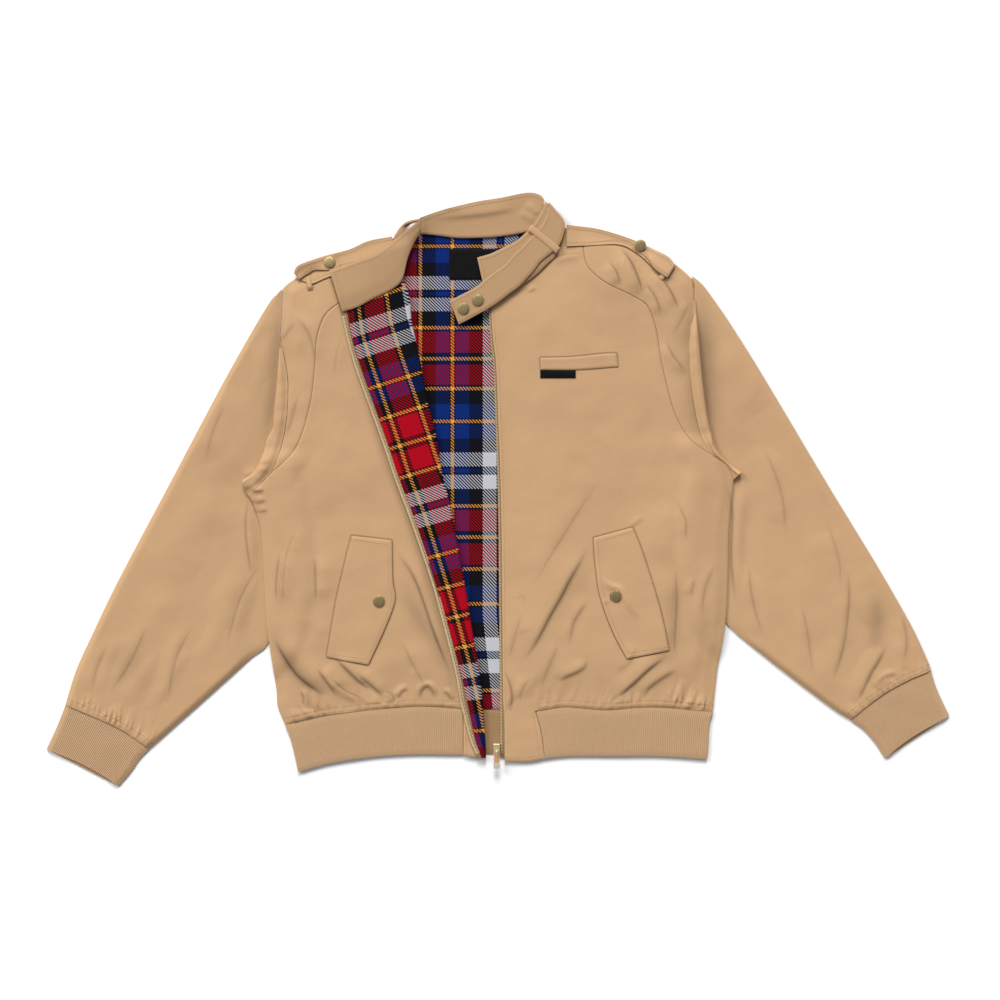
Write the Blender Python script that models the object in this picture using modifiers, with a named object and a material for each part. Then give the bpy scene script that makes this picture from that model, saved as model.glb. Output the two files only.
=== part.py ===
"""A harrington jacket laid flat on its back and open, modelled for Blender 4.5 in metres with +Z up.

The collar points to +Y, and the wearer's right side lies at -X. The right front is turned back along
a slanting fold, so its lining faces up. Tables are in millimetres of the jacket's own plan, with the
columns x and y unless a comment names others, and each cut piece is one closed wall of cloth."""

import math

import bmesh
import bpy
from mathutils import Vector

MM = 0.001

# Driving sizes in millimetres.
CLOTH = 1.4
LINING = 1.0
RIB = 2.3
COLLAR = 2.4
STRAP = 1.6
TAPE = 1.0
SEAM_GAP = 0.3
LAY_GAP = 0.4
SNAP_RADIUS = 7.5
RIB_RISE = 0.6
GATHER_RISE = 1.3
GATHER_REACH = 26
RELIEF_FADE = 14
SNAP_PROFILE = [(0, 2.4), (0.55, 2.2), (0.85, 1.5), (1, 0.7), (1, 0), (0, 0)]
SNAP_SIDES = 16

# Heights above the floor in millimetres.
BACK_TOP = 1.2
LINING_TOP = 2.4
SIDE_TOP = 3.0
SEAT_TOP = 5.8
HEM_TOP = 5.6
FRONT_PUFF = 4.2
EDGE_RAMP = 18
SEAT_RAMP = 60
PUFF_RAMPS = (60, 70, 70)
TUCK_TOP = 3.3
TUCK_BED = 4.3
BED_RAMP = 32
BED_FADE = 30
BED_LEAD = 1.5
BED_SLACK = 0.8
SLEEVE_PUFF = 3.0
SLEEVE_RAMP = (16, 40)
CUFF_TOP = 4.4
CUFF_WALL = 1.8
HEM_LINE = -286
RIB_FLOOR = 2.3
BACK_INSET = 4
EDGE_MIDDLE = 2.2
EDGE_ROUND = 10
EDGE_TURN = 1.4
HEAD_RISE = 2.6
HEAD_TUCK = 7
HEAD_RAMP = 9
TURNBACK = 1.2
SHELL_RISE = 1.9
LINING_RISE = 3.4
LEFT_TAPE_TOP = 3.8
TUCK_GAP = 0.6
EPAULETTE_GAP = 0.8
EPAULETTE_RAMP = 18
COLLAR_LIFT = 1.3
COLLAR_DROP = 0.9
COLLAR_LEFT_HEIGHT = 10.0
STRAP_TOP = 12.3
STRAP_DROP = 3.5
STRAP_DROPPED = 0.2
STRAP_RISE = 3.4
STRAP_FOOT = (-115, 9)
KEEPER_WIDTH = 9
EPAULETTE_KEEPER_WIDTH = 7
FLAP_GAP = 0.6
LABEL = 0.6

# The slider's crown and the pull tab's eye.
HINGE_Y = -346
CROWN_WIDTH = 2.0
CROWN_HOLE = 3.4
CROWN_WALL = 1.2
EYE_WIDE = 3.4
EYE_LONG = 4.4
EYE_BAR = 1.2

TAN = (0.58, 0.38, 0.20, 1)
TAN_RIB = (0.50, 0.33, 0.18, 1)
TARTAN_RED = (0.30, 0.02, 0.03, 1)
BLACK = (0.02, 0.02, 0.025, 1)
BRASS = (0.36, 0.30, 0.13, 1)

# Each side's seams and edges, from the neck or shoulder down.
RIGHT = {
    "shoulder": [(-283, 266), (-268, 278), (-225, 300), (-172, 322), (-131, 334)],
    "armhole": [(-283, 266), (-285, 224), (-286, 198), (-280, 169), (-276, 139), (-278, 92),
                (-286, 53), (-298, 22)],
    "underarm": [(-298, 22), (-311, 9), (-319, 1), (-331, -4)],
    "side": [(-331, -4), (-322, -18), (-312, -52), (-308, -106), (-304, -177), (-292, -261),
             (-290, -285), (-280, -310)],
    "yoke": [(-131, 334), (-135, 290), (-155, 271), (-188, 255), (-210, 245), (-228, 228),
             (-238, 198), (-241, 158),
             (-247, 112), (-262, 62), (-280, 38), (-298, 22)],
    "opening": [(-114, 322), (-122, 300), (-128, 280), (-119, 251), (-114, 224), (-105, 185),
                (-92, 116), (-81, 73),
                (-71, 13), (-63, -13), (-56, -53), (-46, -106), (-31, -198), (-24, -238), (-19, -288)],
    "hem": [(-280, -310), (-224, -297), (-146, -288), (-100, -285), (-45, -288), (-19, -288)],
    "sleeve_fold": [(-287.6, 188), (-289, 165), (-291, 139), (-295, 99), (-296, 82), (-304, 66),
                    (-308, 50), (-320, 25), (-336, 13)],
    "sleeve_outer": [(-292, 257), (-298, 251), (-315, 224), (-345, 172), (-374, 119), (-430, 13),
                     (-486, -92),
                     (-513, -145), (-538, -198), (-556, -238), (-570, -283)],
    "sleeve_inner": [(-283.6, 265), (-285.5, 224), (-286.6, 198), (-282, 169), (-279, 139),
                     (-281, 92), (-289, 55), (-297, 30), (-296, 5),
                     (-289, -30), (-284, -66), (-285, -145), (-302, -201), (-328, -224), (-387, -277), (-459, -341)],
    "bed_from": 58,
    "cuff_seam": [(-570, -283), (-525, -302), (-492, -318), (-459, -341)],
    "cuff_outer": [(-570, -284), (-582, -314), (-595, -342)],
    "cuff_inner": [(-459, -342), (-472, -355), (-483, -371), (-500, -391)],
    "cuff_end": [(-595, -342), (-551, -360), (-518, -378), (-500, -391)],
    "rib_side": [(-280, -311), (-274, -325), (-267, -352), (-263, -372)],
    "rib_end": [(-263, -372), (-228, -362), (-181, -354), (-122, -349), (-45, -349)],
    "band_edge": [(-45, -289), (-45, -318), (-45, -349)],
    "front_edge": [(-21, -289), (-18, -318), (-17, -352)],
    "band_end": [(-45, -349), (-33, -352), (-17, -352)],
    "back_rib_end": [(-262, -371), (-228, -361), (-181, -353), (-122, -348), (-45, -348), (5, -350)],
    "epaulette_over": [(-262, 277), (-250, 285), (-240, 290), (-221, 290), (-190, 296), (-160, 302)],
    "epaulette_low": [(-262, 277), (-252, 274), (-243, 272), (-221, 281), (-190, 288), (-160, 298),
                      (-136, 306)],
    "epaulette_high": [(-268, 286), (-264, 294), (-254, 299), (-228, 308), (-195, 317), (-170, 328),
                       (-139, 334)],
    "epaulette_back": 60,
    "epaulette_keeper": [(-246, 263), (-250, 281)],
    "shoulder_snap": (-221, 300),
    "flap_sewn": [(-192, -60), (-200, -92), (-213, -149), (-225, -220)],
    "flap_free": [(-139, -66), (-138, -119), (-135, -145), (-148, -182), (-170, -230)],
    "pocket_snap": (-156, -146),
}
LEFT = {
    "shoulder": [(259, 269), (254, 281), (225, 304), (175, 327), (130, 340), (113, 344)],
    "armhole": [(259, 269), (257, 238), (252, 189), (255, 139), (261, 99), (269, 69), (284, 44)],
    "underarm": [(284, 44), (294, 38), (304, 30), (311, 14)],
    "side": [(311, 14), (308, -13), (304, -61), (303, -119), (300, -176), (290, -238), (284, -293)],
    "yoke": [(113, 344), (113, 319), (119, 294), (142, 273), (175, 257), (197, 242), (209, 211), (214, 178),
             (222, 141), (234, 99), (254, 66), (284, 44)],
    "opening": [(86, 346), (81, 331), (74, 313), (64, 302), (45, 285), (20, 266), (-3, 247),
                (-9, 238), (-8, 226),
                (-6, 198), (-2, 165), (1, 92), (3, 40), (5, -40), (6, -145), (7, -264), (8, -290)],
    "hem": [(284, -293), (247, -289), (201, -286), (142, -290), (90, -286), (50, -291), (8, -290)],
    "sleeve_fold": [(261, 250), (263, 224), (265, 200), (270, 145), (276, 99), (281, 77), (288, 54),
                    (307, 34), (321, 24)],
    "sleeve_outer": [(257, 282), (265, 276), (272, 269), (281, 257), (304, 224), (337, 172),
                     (369, 119), (432, 13), (496, -92), (527, -145),
                     (549, -185), (567, -224), (572, -238)],
    "sleeve_inner": [(260, 268), (257.5, 238), (256, 189), (259, 139), (265, 99), (273, 69),
                     (282, 48), (286, 25),
                     (280, -40), (278, -80), (280, -125), (301, -175), (355, -222), (437, -285), (465, -303)],
    "bed_from": 78,
    "cuff_seam": [(572, -238), (541, -251), (506, -271), (465, -303)],
    "cuff_outer": [(572, -239), (580, -264), (596, -298)],
    "cuff_inner": [(465, -304), (483, -317), (498, -334), (511, -354)],
    "cuff_end": [(596, -298), (558, -319), (534, -335), (511, -354)],
    "rib_side": [(284, -294), (280, -308), (278, -338), (276, -355)],
    "rib_end": [(276, -355), (213, -351), (142, -351), (94, -351), (62, -354)],
    "band_edge": [(50, -292), (57, -317), (60, -337), (62, -354)],
    "front_edge": [(8, -291), (9, -318), (9, -357)],
    "band_end": [(62, -354), (36, -358), (9, -357)],
    "back_rib_end": [(275, -354), (213, -350), (142, -350), (94, -350), (5, -350)],
    "epaulette_over": [(224, 279), (208, 290), (199, 303), (188, 312), (162, 325), (122, 322)],
    "epaulette_low": [(224, 279), (208, 290), (188, 309), (162, 323), (122, 322), (91, 321)],
    "epaulette_high": [(234, 295), (225, 307), (201, 319), (175, 331), (132, 344), (91, 349)],
    "epaulette_back": 62,
    "epaulette_keeper": [(213, 275), (223, 291)],
    "shoulder_snap": (188, 322),
    "flap_sewn": [(178, -49), (190, -79), (203, -119), (215, -160), (226, -211)],
    "flap_free": [(126, -63), (129, -100), (135, -140), (151, -185), (170, -222)],
    "pocket_snap": (155, -139),
}

# The collar's edges run from the right front's end round the neck to the left front's end.
COLLAR_RIGHT_NECK = [(-204, 234), (-184, 240), (-162, 252), (-138, 264), (-125, 277), (-118, 304),
                     (-109, 326), (-101, 338)]
COLLAR_RIGHT_TOP = [(-221, 289), (-204, 294), (-182, 302), (-164, 308), (-151, 317), (-129, 335),
                    (-115, 345), (-100, 356)]
COLLAR_BACK_NECK = [(-103, 338), (-76, 335), (-50, 332), (-10, 333), (17, 336), (52, 342)]
COLLAR_BACK_TOP = [(-102, 358), (-76, 367), (-50, 374), (-23, 380), (3, 384), (39, 391), (56, 388),
                   (62, 381)]
COLLAR_LEFT_NECK = [(-12, 239), (-3, 243), (22, 262), (48, 281), (67, 299), (77, 309), (84, 330), (89, 350)]
COLLAR_LEFT_TOP = [(-27, 306), (-10, 311), (3, 317), (23, 327), (35, 337), (44, 346), (56, 364), (63, 380)]

STRAP_UPPER = [(-63, 249), (-50, 256), (-36, 263), (-26, 269), (-18, 276), (-3, 288), (10, 297),
               (20, 309), (30, 318),
               (44, 333), (52, 341), (60, 352), (65, 364), (67, 374), (66, 378)]
STRAP_LOWER = [(-51, 218), (-39, 224), (-26, 231), (-12, 239), (3, 249), (16, 259), (27, 267),
               (36, 276), (47, 288),
               (56, 300), (68, 310), (78, 318), (85, 330), (89, 348), (85, 359), (78, 367), (72, 374), (68, 378)]
STRAP_BACK_OUTER = [(-138, 330), (-136, 335), (-133, 340), (-129, 346), (-123, 352), (-115, 356),
                    (-105, 358), (-90, 362),
                    (-40, 368), (0, 374), (40, 378), (62, 377)]
STRAP_BACK_INNER = [(-126, 332), (-124, 338), (-123, 344), (-122, 349), (-115, 352), (-107, 354),
                    (-90, 356), (-40, 357),
                    (0, 360), (40, 364), (64, 368)]
STRAP_KEEPER = [(42, 346), (80, 315)]
STRAP_SNAPS = {"strap_outer_snap": (-45, 239), "strap_inner_snap": (-26, 250)}

# The lapel: outer edge of the zip tape and the line where the tartan begins.
ZIP_EDGE = [(-206, 233), (-198, 198), (-191, 172), (-182, 145), (-153, 66), (-135, 13), (-115, -40),
            (-88, -119),
            (-75, -165), (-56, -240), (-48, -284), (-36, -330), (-26, -353)]
TARTAN_EDGE = [(-198, 236), (-191, 198), (-182, 170), (-173, 145), (-144, 66), (-126, 13),
               (-106, -40), (-81, -119),
               (-68, -165), (-50, -235), (-39, -284), (-29, -330), (-21, -353)]
LAPEL_FOLD = [(-124, 277), (-115, 251), (-113, 224), (-105, 185), (-97, 145), (-92, 116), (-81, 73),
              (-71, 13),
              (-63, -13), (-56, -53), (-46, -106), (-31, -198), (-24, -238), (-19, -284), (-16, -330), (-15, -353)]
LAPEL_INSET = 2.6
TURNBACK_INSET = 6
LAPEL_TUCK = 8
TAPE_OVERHANG = 4

LEFT_ZIP_EDGE = [(-12, 241), (-10, 198), (-6, 165), (-3, 92), (-1, 40), (1, -40), (2, -145), (3, -264),
                 (3.7, -352)]
LEFT_TAPE_WIDTH = 14

BACK_LINING_NECK = [(-116, 336), (-101, 340), (-50, 336), (-10, 336), (30, 341), (84, 348)]
BACK_LINING_RIGHT = [(-116, 336), (-142, 250), (-122, 100), (-90, -80), (-58, -284)]
BACK_LINING_LEFT = [(84, 348), (70, 250), (45, 100), (45, -80), (45, -284)]
BACK_NECK = [(-131, 334), (-101, 337), (-50, 333), (-10, 333), (30, 338), (84, 346), (113, 344)]

WELT_SEWN = [(57, 158), (105, 158), (159, 162)]
WELT_FREE = [(56, 174), (97, 175), (136, 179), (157, 180)]
CHEST_LABEL = ((56, 158), (103, 147))
NECK_LABEL = ((-64, 318), (-12, 277))

SLIDER_PLACE = (-1, -342)
SLIDER_SIZE = (8.6, 15.8, 5.0)
SLIDER_FLOOR = 3.6
HINGE_HEIGHT = 11.4
TAB_SIZE = (6.6, 20.5, 1.4)

# The largest folds. Columns: start x, start y, end x, end y, sideways bend, width, height.
FOLDS = [
    (-300, -190, -205, -290, 12, 30, 3.2),
    (-276, -160, -225, -262, -10, 26, 2.4),
    (-250, -205, -172, -286, 10, 20, 2.2),
    (-262, -10, -262, -130, 4, 26, 2.2),
    (-240, -20, -238, -200, -4, 22, 1.8),
    (-120, -80, -78, -262, 8, 24, 2.4),
    (-105, -150, -102, -262, 6, 18, 1.5),
    (-190, 150, -225, 20, 14, 34, 1.8),
    (-170, 60, -190, -40, -8, 30, 1.5),
    (-252, 160, -270, 60, 6, 20, 1.6),
    (128, -44, 24, -228, 10, 26, 3.0),
    (226, -218, 156, -276, 6, 20, 2.6),
    (252, -60, 248, -222, 4, 22, 1.8),
    (110, -190, 84, -262, 4, 22, 1.6),
    (30, -232, 22, -330, -6, 16, 1.8),
    (250, 30, 180, -30, -14, 40, 1.8),
    (220, 60, 130, 20, -10, 40, 1.5),
    (236, 220, 246, 110, 4, 18, 1.4),
    (150, 240, 190, 200, 8, 24, 1.5),
    (-300, 200, -330, 90, -8, 28, 2.0),
    (-330, 130, -420, -60, -12, 44, 2.4),
    (-350, -20, -460, -200, 14, 50, 2.4),
    (-420, -120, -510, -240, 10, 36, 2.2),
    (-340, -140, -440, -262, -10, 30, 1.8),
    (-440, -225, -480, -290, 6, 20, 1.8),
    (300, 200, 340, 90, 10, 30, 2.0),
    (330, 130, 430, -60, 12, 44, 2.4),
    (360, -40, 470, -200, -14, 50, 2.2),
    (506, -150, 480, -275, 10, 24, 2.6),
    (430, -110, 452, -270, -8, 30, 1.8),
]

# Sampling of the seams that two pieces share, and of the panels.
SEAM_STEPS = {"shoulder": 8, "armhole": 14, "underarm": 3, "side": 15, "yoke": 14}
FRONT_COLUMNS = 22
YOKE_COLUMNS = 5
YOKE_LEAN = 1.6
BACK_ROWS = 20
BACK_ACROSS = [0, 0.02, 0.045, 0.075, 0.12, 0.2, 0.35, 0.5, 0.65, 0.8, 0.88, 0.925, 0.955, 0.98, 1]
SLEEVE_TOP_STEPS = 14
SLEEVE_UNDER_STEPS = 5
SLEEVE_ROWS = 20
CUFF_ROWS = 3
CUFF_RIBS = 20
HEM_RIBS = 30
LAPEL_ROWS = 22
CURVE_STEPS = 12


def catmull(a, b, c, d, t):
    """A point between b and c on the smooth curve through four points."""
    bend, twist = 2 * a - 5 * b + 4 * c - d, 3 * b - a - 3 * c + d
    return 0.5 * (2 * b + (c - a) * t + bend * t * t + twist * t ** 3)


def resampled(points, fractions):
    """Points at the given fractions of a polyline's length."""
    lengths = [0.0]
    for a, b in zip(points, points[1:]):
        lengths.append(lengths[-1] + (b - a).length)
    found, index = [], 0
    for fraction in fractions:
        target = fraction * lengths[-1]
        while index < len(points) - 2 and lengths[index + 1] < target:
            index += 1
        span = lengths[index + 1] - lengths[index]
        found.append(points[index].lerp(points[index + 1], (target - lengths[index]) / span))
    return found


def even(steps):
    return [step / steps for step in range(steps + 1)]


def curve(table, steps):
    """Points along the smooth curve through a table's rows, at even steps or at the given fractions."""
    rows = [Vector(row[:2]) for row in table]
    ends = [2 * rows[0] - rows[1]] + rows + [2 * rows[-1] - rows[-2]]
    fine = []
    for a, b, c, d in zip(ends, ends[1:], ends[2:], ends[3:]):
        fine += [catmull(a, b, c, d, t / CURVE_STEPS) for t in range(CURVE_STEPS)]
    fine.append(rows[-1])
    return resampled(fine, even(steps) if isinstance(steps, int) else steps)


def smooth(t):
    t = min(max(t, 0.0), 1.0)
    return t * t * (3 - 2 * t)


def distance(point, line):
    """The shortest way from a point of the plan to a polyline."""
    best = math.inf
    for a, b in zip(line, line[1:]):
        along = b - a
        t = min(max((point - a).dot(along) / along.length_squared, 0.0), 1.0)
        best = min(best, (point - a - along * t).length)
    return best


def turned_in(points, inward, amount):
    """A polyline moved sideways, towards the point called inward."""
    moved = []
    for index, point in enumerate(points):
        run = points[min(index + 1, len(points) - 1)] - points[max(index - 1, 0)]
        normal = Vector((-run.y, run.x)).normalized()
        if normal.dot(inward - point) < 0:
            normal = -normal
        moved.append(point + normal * amount)
    return moved


def matched(table, partner):
    """Points of a curve that runs down the jacket, one for each point of its partner, at like heights."""
    fine = curve(table, 240)
    top, bottom = partner[0].y, partner[-1].y
    found = []
    for point in partner:
        share = (top - point.y) / (top - bottom)
        height = fine[0].y + (fine[-1].y - fine[0].y) * share
        found.append(min(fine, key=lambda p: abs(p.y - height)))
    found[0], found[-1] = fine[0], fine[-1]
    return found


def patch(left, right, top, bottom, across=None, fade=1):
    """Plan points across a panel from its four edges, in rows from its top edge to its bottom edge.

    A higher fade lets the top and bottom edges bend fewer of the rows between them."""
    rows = len(left) - 1
    across = across or even(len(top) - 1)
    grid = []
    for i in range(rows + 1):
        above, below = (1 - i / rows) ** fade, (i / rows) ** fade
        row = []
        for j, u in enumerate(across):
            top_bend = top[j] - left[0].lerp(right[0], u)
            bottom_bend = bottom[j] - left[-1].lerp(right[-1], u)
            row.append(left[i].lerp(right[i], u) + top_bend * above + bottom_bend * below)
        grid.append(row)
    return grid


def ruled(start, end, columns):
    """Plan points on straight rows from one edge to the other."""
    return [[a.lerp(b, j / columns) for j in range(columns + 1)] for a, b in zip(start, end)]


def seamed(grid, gap=SEAM_GAP / 2):
    """A plan grid drawn in from its edges by half of a seam's gap."""
    rows, columns = len(grid) - 1, len(grid[0]) - 1
    moved = [[point.copy() for point in row] for row in grid]

    def draw_in(i, j, before, after, inside):
        run = grid[after[0]][after[1]] - grid[before[0]][before[1]]
        normal = Vector((-run.y, run.x)).normalized()
        if normal.dot(grid[inside[0]][inside[1]] - grid[i][j]) < 0:
            normal = -normal
        moved[i][j] += normal * gap

    for i in range(rows + 1):
        above, below = max(i - 1, 0), min(i + 1, rows)
        draw_in(i, 0, (above, 0), (below, 0), (i, 1))
        draw_in(i, columns, (above, columns), (below, columns), (i, columns - 1))
    for j in range(columns + 1):
        before, after = max(j - 1, 0), min(j + 1, columns)
        draw_in(0, j, (0, before), (0, after), (1, j))
        draw_in(rows, j, (rows, before), (rows, after), (rows - 1, j))
    return moved


def border(grid):
    """The points round a grid, in order."""
    loop = grid[0][:-1] + [row[-1] for row in grid[:-1]]
    return loop + grid[-1][:0:-1] + [row[0] for row in grid[:0:-1]]


def material(name, colour, roughness=0.85, metallic=0.0):
    made = bpy.data.materials.new(name)
    made.use_nodes = True
    shader = made.node_tree.nodes["Principled BSDF"]
    shader.inputs["Base Color"].default_value = colour
    shader.inputs["Roughness"].default_value = roughness
    shader.inputs["Metallic"].default_value = metallic
    return made


def placed(name, mesh, colour, roughness=0.85, metallic=0.0):
    """An object of the jacket's collection, with a material of its own."""
    mesh.materials.append(material(name, colour, roughness, metallic))
    made = bpy.data.objects.new(name, mesh)
    jacket.objects.link(made)
    return made


def skin(form, grid, ring, coarse):
    """One face of a wall. A coarse skin keeps the border and drops every other point inside it."""
    rows, columns = len(grid) - 1, len(grid[0]) - (0 if ring else 1)
    made = {}

    def vertex(i, j):
        key = (i, j % len(grid[0]))
        if key not in made:
            made[key] = form.verts.new(grid[key[0]][key[1]] * MM)
        return made[key]

    for i in range(0, rows, coarse):
        for j in range(0, columns, coarse):
            down, across = min(i + coarse, rows), min(j + coarse, columns)
            walk = [(i, n) for n in range(j, across, 1 if i == 0 else across - j)]
            open_side = across == columns and not ring
            walk += [(n, across) for n in range(i, down, 1 if open_side else down - i)]
            walk += [(down, n) for n in range(across, j, -1 if down == rows else j - across)]
            walk += [(n, j) for n in range(down, i, -1 if j == 0 and not ring else i - down)]
            form.faces.new([vertex(*place) for place in walk])
    return [[made.get((i, j)) for j in range(len(grid[0]))] for i in range(rows + 1)]


def wall(name, outer, inner, colour, ring=False):
    """A closed wall of cloth between an outer and an inner grid of points in millimetres.

    The inner skin is plainer than the outer one, and ring closes each row on itself."""
    form = bmesh.new()
    outside, inside = skin(form, outer, ring, 1), skin(form, inner, ring, 2)
    if ring:
        rims = [(outside[0], inside[0]), (outside[-1], inside[-1])]
    else:
        rims = [(border(outside), border(inside))]
    for outer_rim, inner_rim in rims:
        for n in range(len(outer_rim)):
            m = (n + 1) % len(outer_rim)
            form.faces.new((outer_rim[n], outer_rim[m], inner_rim[m], inner_rim[n]))
    bmesh.ops.recalc_face_normals(form, faces=form.faces)
    mesh = bpy.data.meshes.new(name)
    form.to_mesh(mesh)
    form.free()
    mesh.shade_smooth()
    mesh.set_sharp_from_angle(angle=math.radians(40))
    return placed(name, mesh, colour)


def panel(name, plan, top, thickness, colour, relief=None):
    """A flat-lying panel: top gives the height of its plain face, and relief what is raised on it."""
    outer = [[Vector((p.x, p.y, top(p) + (relief(p) if relief else 0))) for p in row] for row in plan]
    inner = [[Vector((p.x, p.y, top(p) - thickness)) for p in row] for row in plan]
    return wall(name, outer, inner, colour)


def folded(name, rows, upper, lower, top, under, thickness, colour, steps=(3, 4, 3), under_rows=None):
    """A strip folded back on itself, each row a plan line that starts at the fold.

    upper and lower are the lengths of the two legs, top and under the heights of their outsides, and
    under_rows the lower leg's own plan lines where they differ."""
    outer, inner = [], []
    for line, low_line, above, below in zip(rows, under_rows or rows, upper, lower):
        radius = (top(along(line, 0)) - under(along(low_line, 0))) / 2
        outside, inside = [], []
        for k in range(steps[0]):
            p = along(line, above + (radius - above) * k / steps[0])
            outside.append(Vector((p.x, p.y, top(p))))
            inside.append(Vector((p.x, p.y, top(p) - thickness)))
        middle = (top(along(line, radius)) + under(along(low_line, radius))) / 2
        for k in range(steps[1] + 1):
            angle = math.pi * k / steps[1]
            for points, r in ((outside, radius), (inside, radius - thickness)):
                reach = radius - r * math.sin(angle)
                p = along(line, reach).lerp(along(low_line, reach), k / steps[1])
                points.append(Vector((p.x, p.y, middle + r * math.cos(angle))))
        for k in range(1, steps[2] + 1):
            p = along(low_line, radius + (below - radius) * k / steps[2])
            outside.append(Vector((p.x, p.y, under(p))))
            inside.append(Vector((p.x, p.y, under(p) + thickness)))
        outer.append(outside)
        inner.append(inside)
    return wall(name, outer, inner, colour)


def along(line, reach):
    """The point at a distance along a polyline, past its end too."""
    for a, b in zip(line, line[1:]):
        step = (b - a).length
        if reach <= step or b is line[-1]:
            return a + (b - a) * (reach / step)
        reach -= step
    return line[-1]


def fold_lines():
    """Each large fold as its bent centre line, width and height."""
    lines = []
    for x0, y0, x1, y1, bend, width, height in FOLDS:
        start, end = Vector((x0, y0)), Vector((x1, y1))
        side = Vector((y0 - y1, x1 - x0)).normalized() * bend
        line = [start.lerp(end, t) + side * (4 * t * (1 - t)) for t in even(5)]
        lines.append((line, width, height))
    return lines


def fold_rise(point):
    """How far the folds raise the cloth at a point."""
    rise = 0.0
    for line, width, height in FOLD_LINES:
        if abs(point.x - line[2].x) > 160 or abs(point.y - line[2].y) > 160:
            continue
        length = (line[-1] - line[0]).length
        ends = min((point - line[0]).length, (point - line[-1]).length)
        share = distance(point, line) / (width / 2)
        rise = max(rise, height * math.exp(-share * share) * smooth(ends / (0.3 * length)))
    return rise


class Side:
    """One side of the jacket: its named edges as sampled curves, and the heights of its cloth."""

    def __init__(self, name, edges):
        self.name, self.edges = name, edges
        self.seams = {seam: curve(edges[seam], steps) for seam, steps in SEAM_STEPS.items()}
        self.outline = self.seams["shoulder"][::-1] + self.seams["side"]
        self.arm = self.seams["armhole"] + self.seams["underarm"][1:]
        self.body = self.arm + self.seams["side"][1:]
        self.opening = curve(edges["opening"], 30)
        self.hem = curve(edges["hem"], FRONT_COLUMNS)
        self.tuck = curve(edges["sleeve_inner"], 30)
        self.outward = -1 if name == "right" else 1

    def bed(self, point):
        """How far the sleeve tucked under the body lifts it."""
        near = min(range(len(self.tuck) - 1), key=lambda n: distance(point, self.tuck[n:n + 2]))
        a, b = self.tuck[near], self.tuck[near + 1]
        over_sleeve = (b - a).cross(point - a) * self.outward > 0
        reach = distance(point, self.tuck) * (1 if over_sleeve else -1)
        return TUCK_BED * smooth(BED_LEAD + reach / BED_RAMP) * smooth((self.edges["bed_from"] - point.y) / BED_FADE)

    def top(self, point):
        """The plain upper face of the front's cloth."""
        edge = distance(point, self.outline)
        to_opening = distance(point, self.opening)
        to_hem = distance(point, self.hem) if point.y > HEM_LINE else 0
        seat = HEM_TOP + (SEAT_TOP - HEM_TOP) * smooth(to_hem / SEAT_RAMP)
        puff = FRONT_PUFF
        for reach, ramp in zip((edge, to_opening, to_hem), PUFF_RAMPS):
            puff *= smooth(reach / ramp)
        bed = self.bed(point)
        slack = BED_SLACK * math.sin(math.pi * bed / TUCK_BED)
        return SIDE_TOP + (seat - SIDE_TOP) * smooth(edge / EDGE_RAMP) + puff + bed + slack

    def gathers(self, point):
        """The small gathers above the hem seam, one to each pair of columns."""
        run = self.hem[-1] - self.hem[0]
        share = (point - self.hem[0]).dot(run) / run.length_squared
        wave = abs(math.sin(math.pi * share * FRONT_COLUMNS / 2))
        reach = distance(point, self.hem) / GATHER_REACH
        return GATHER_RISE * wave * math.exp(-reach * reach) * smooth(reach * 8)

    def relief(self, point):
        """The folds and gathers raised on the front, and none under the turned-back edge."""
        calm = min(distance(point, self.outline), distance(point, self.opening))
        if self.name == "right":
            covered = min(ZIP_LINE, key=lambda p: abs(p.y - point.y)).x
            calm = min(calm, covered - point.x)
        return max(fold_rise(point), self.gathers(point)) * smooth(calm / RELIEF_FADE)

    def face(self, point):
        return self.top(point) + self.relief(point)

    def sleeve_top(self, point):
        """The plain upper face of the sleeve: low where it is tucked in, fuller outside."""
        start, ramp = SLEEVE_RAMP
        return TUCK_TOP + SLEEVE_PUFF * smooth((distance(point, self.body) - start) / ramp)


def back_body():
    """The back's shell, flat on the floor and lifted a little where a sleeve is tucked under it."""
    right, left = [turned_in(resampled(side.body, even(BACK_ROWS)), Vector((0, 0)), BACK_INSET) for side in SIDES]
    shoulder = curve(RIGHT["shoulder"] + BACK_NECK[1:-1] + LEFT["shoulder"][::-1], BACK_ACROSS)
    hem = curve(RIGHT["hem"] + LEFT["hem"][::-1], BACK_ACROSS)
    plan = seamed(patch(right, left, shoulder, hem, BACK_ACROSS))
    panel("back_body", plan, lambda p: max(side.bed(p) for side in SIDES) + BACK_TOP, BACK_TOP, TAN)


def back_lining():
    """The tartan lining of the back, over the stretch that the open fronts show."""
    right, left = curve(BACK_LINING_RIGHT, 8), curve(BACK_LINING_LEFT, 8)
    plan = patch(right, left, curve(BACK_LINING_NECK, 8), ruled([right[-1]], [left[-1]], 8)[0])
    panel("back_lining", plan, lambda p: LINING_TOP, LINING, TARTAN_RED)


def back_hem_rib():
    """The back's rib, whose ribbed outside lies on the floor."""
    right, left = curve(RIGHT["rib_side"], 4), curve(LEFT["rib_side"], 4)
    hem = resampled(curve(RIGHT["hem"] + LEFT["hem"][::-1], BACK_ACROSS), even(40))
    end = curve(RIGHT["back_rib_end"] + LEFT["back_rib_end"][-2::-1], 40)
    plan = seamed(patch(right, left, hem, end), 1.0)
    panel("back_hem_rib", plan, lambda p: RIB_FLOOR - LAY_GAP, RIB_FLOOR - LAY_GAP, TAN_RIB)


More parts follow.
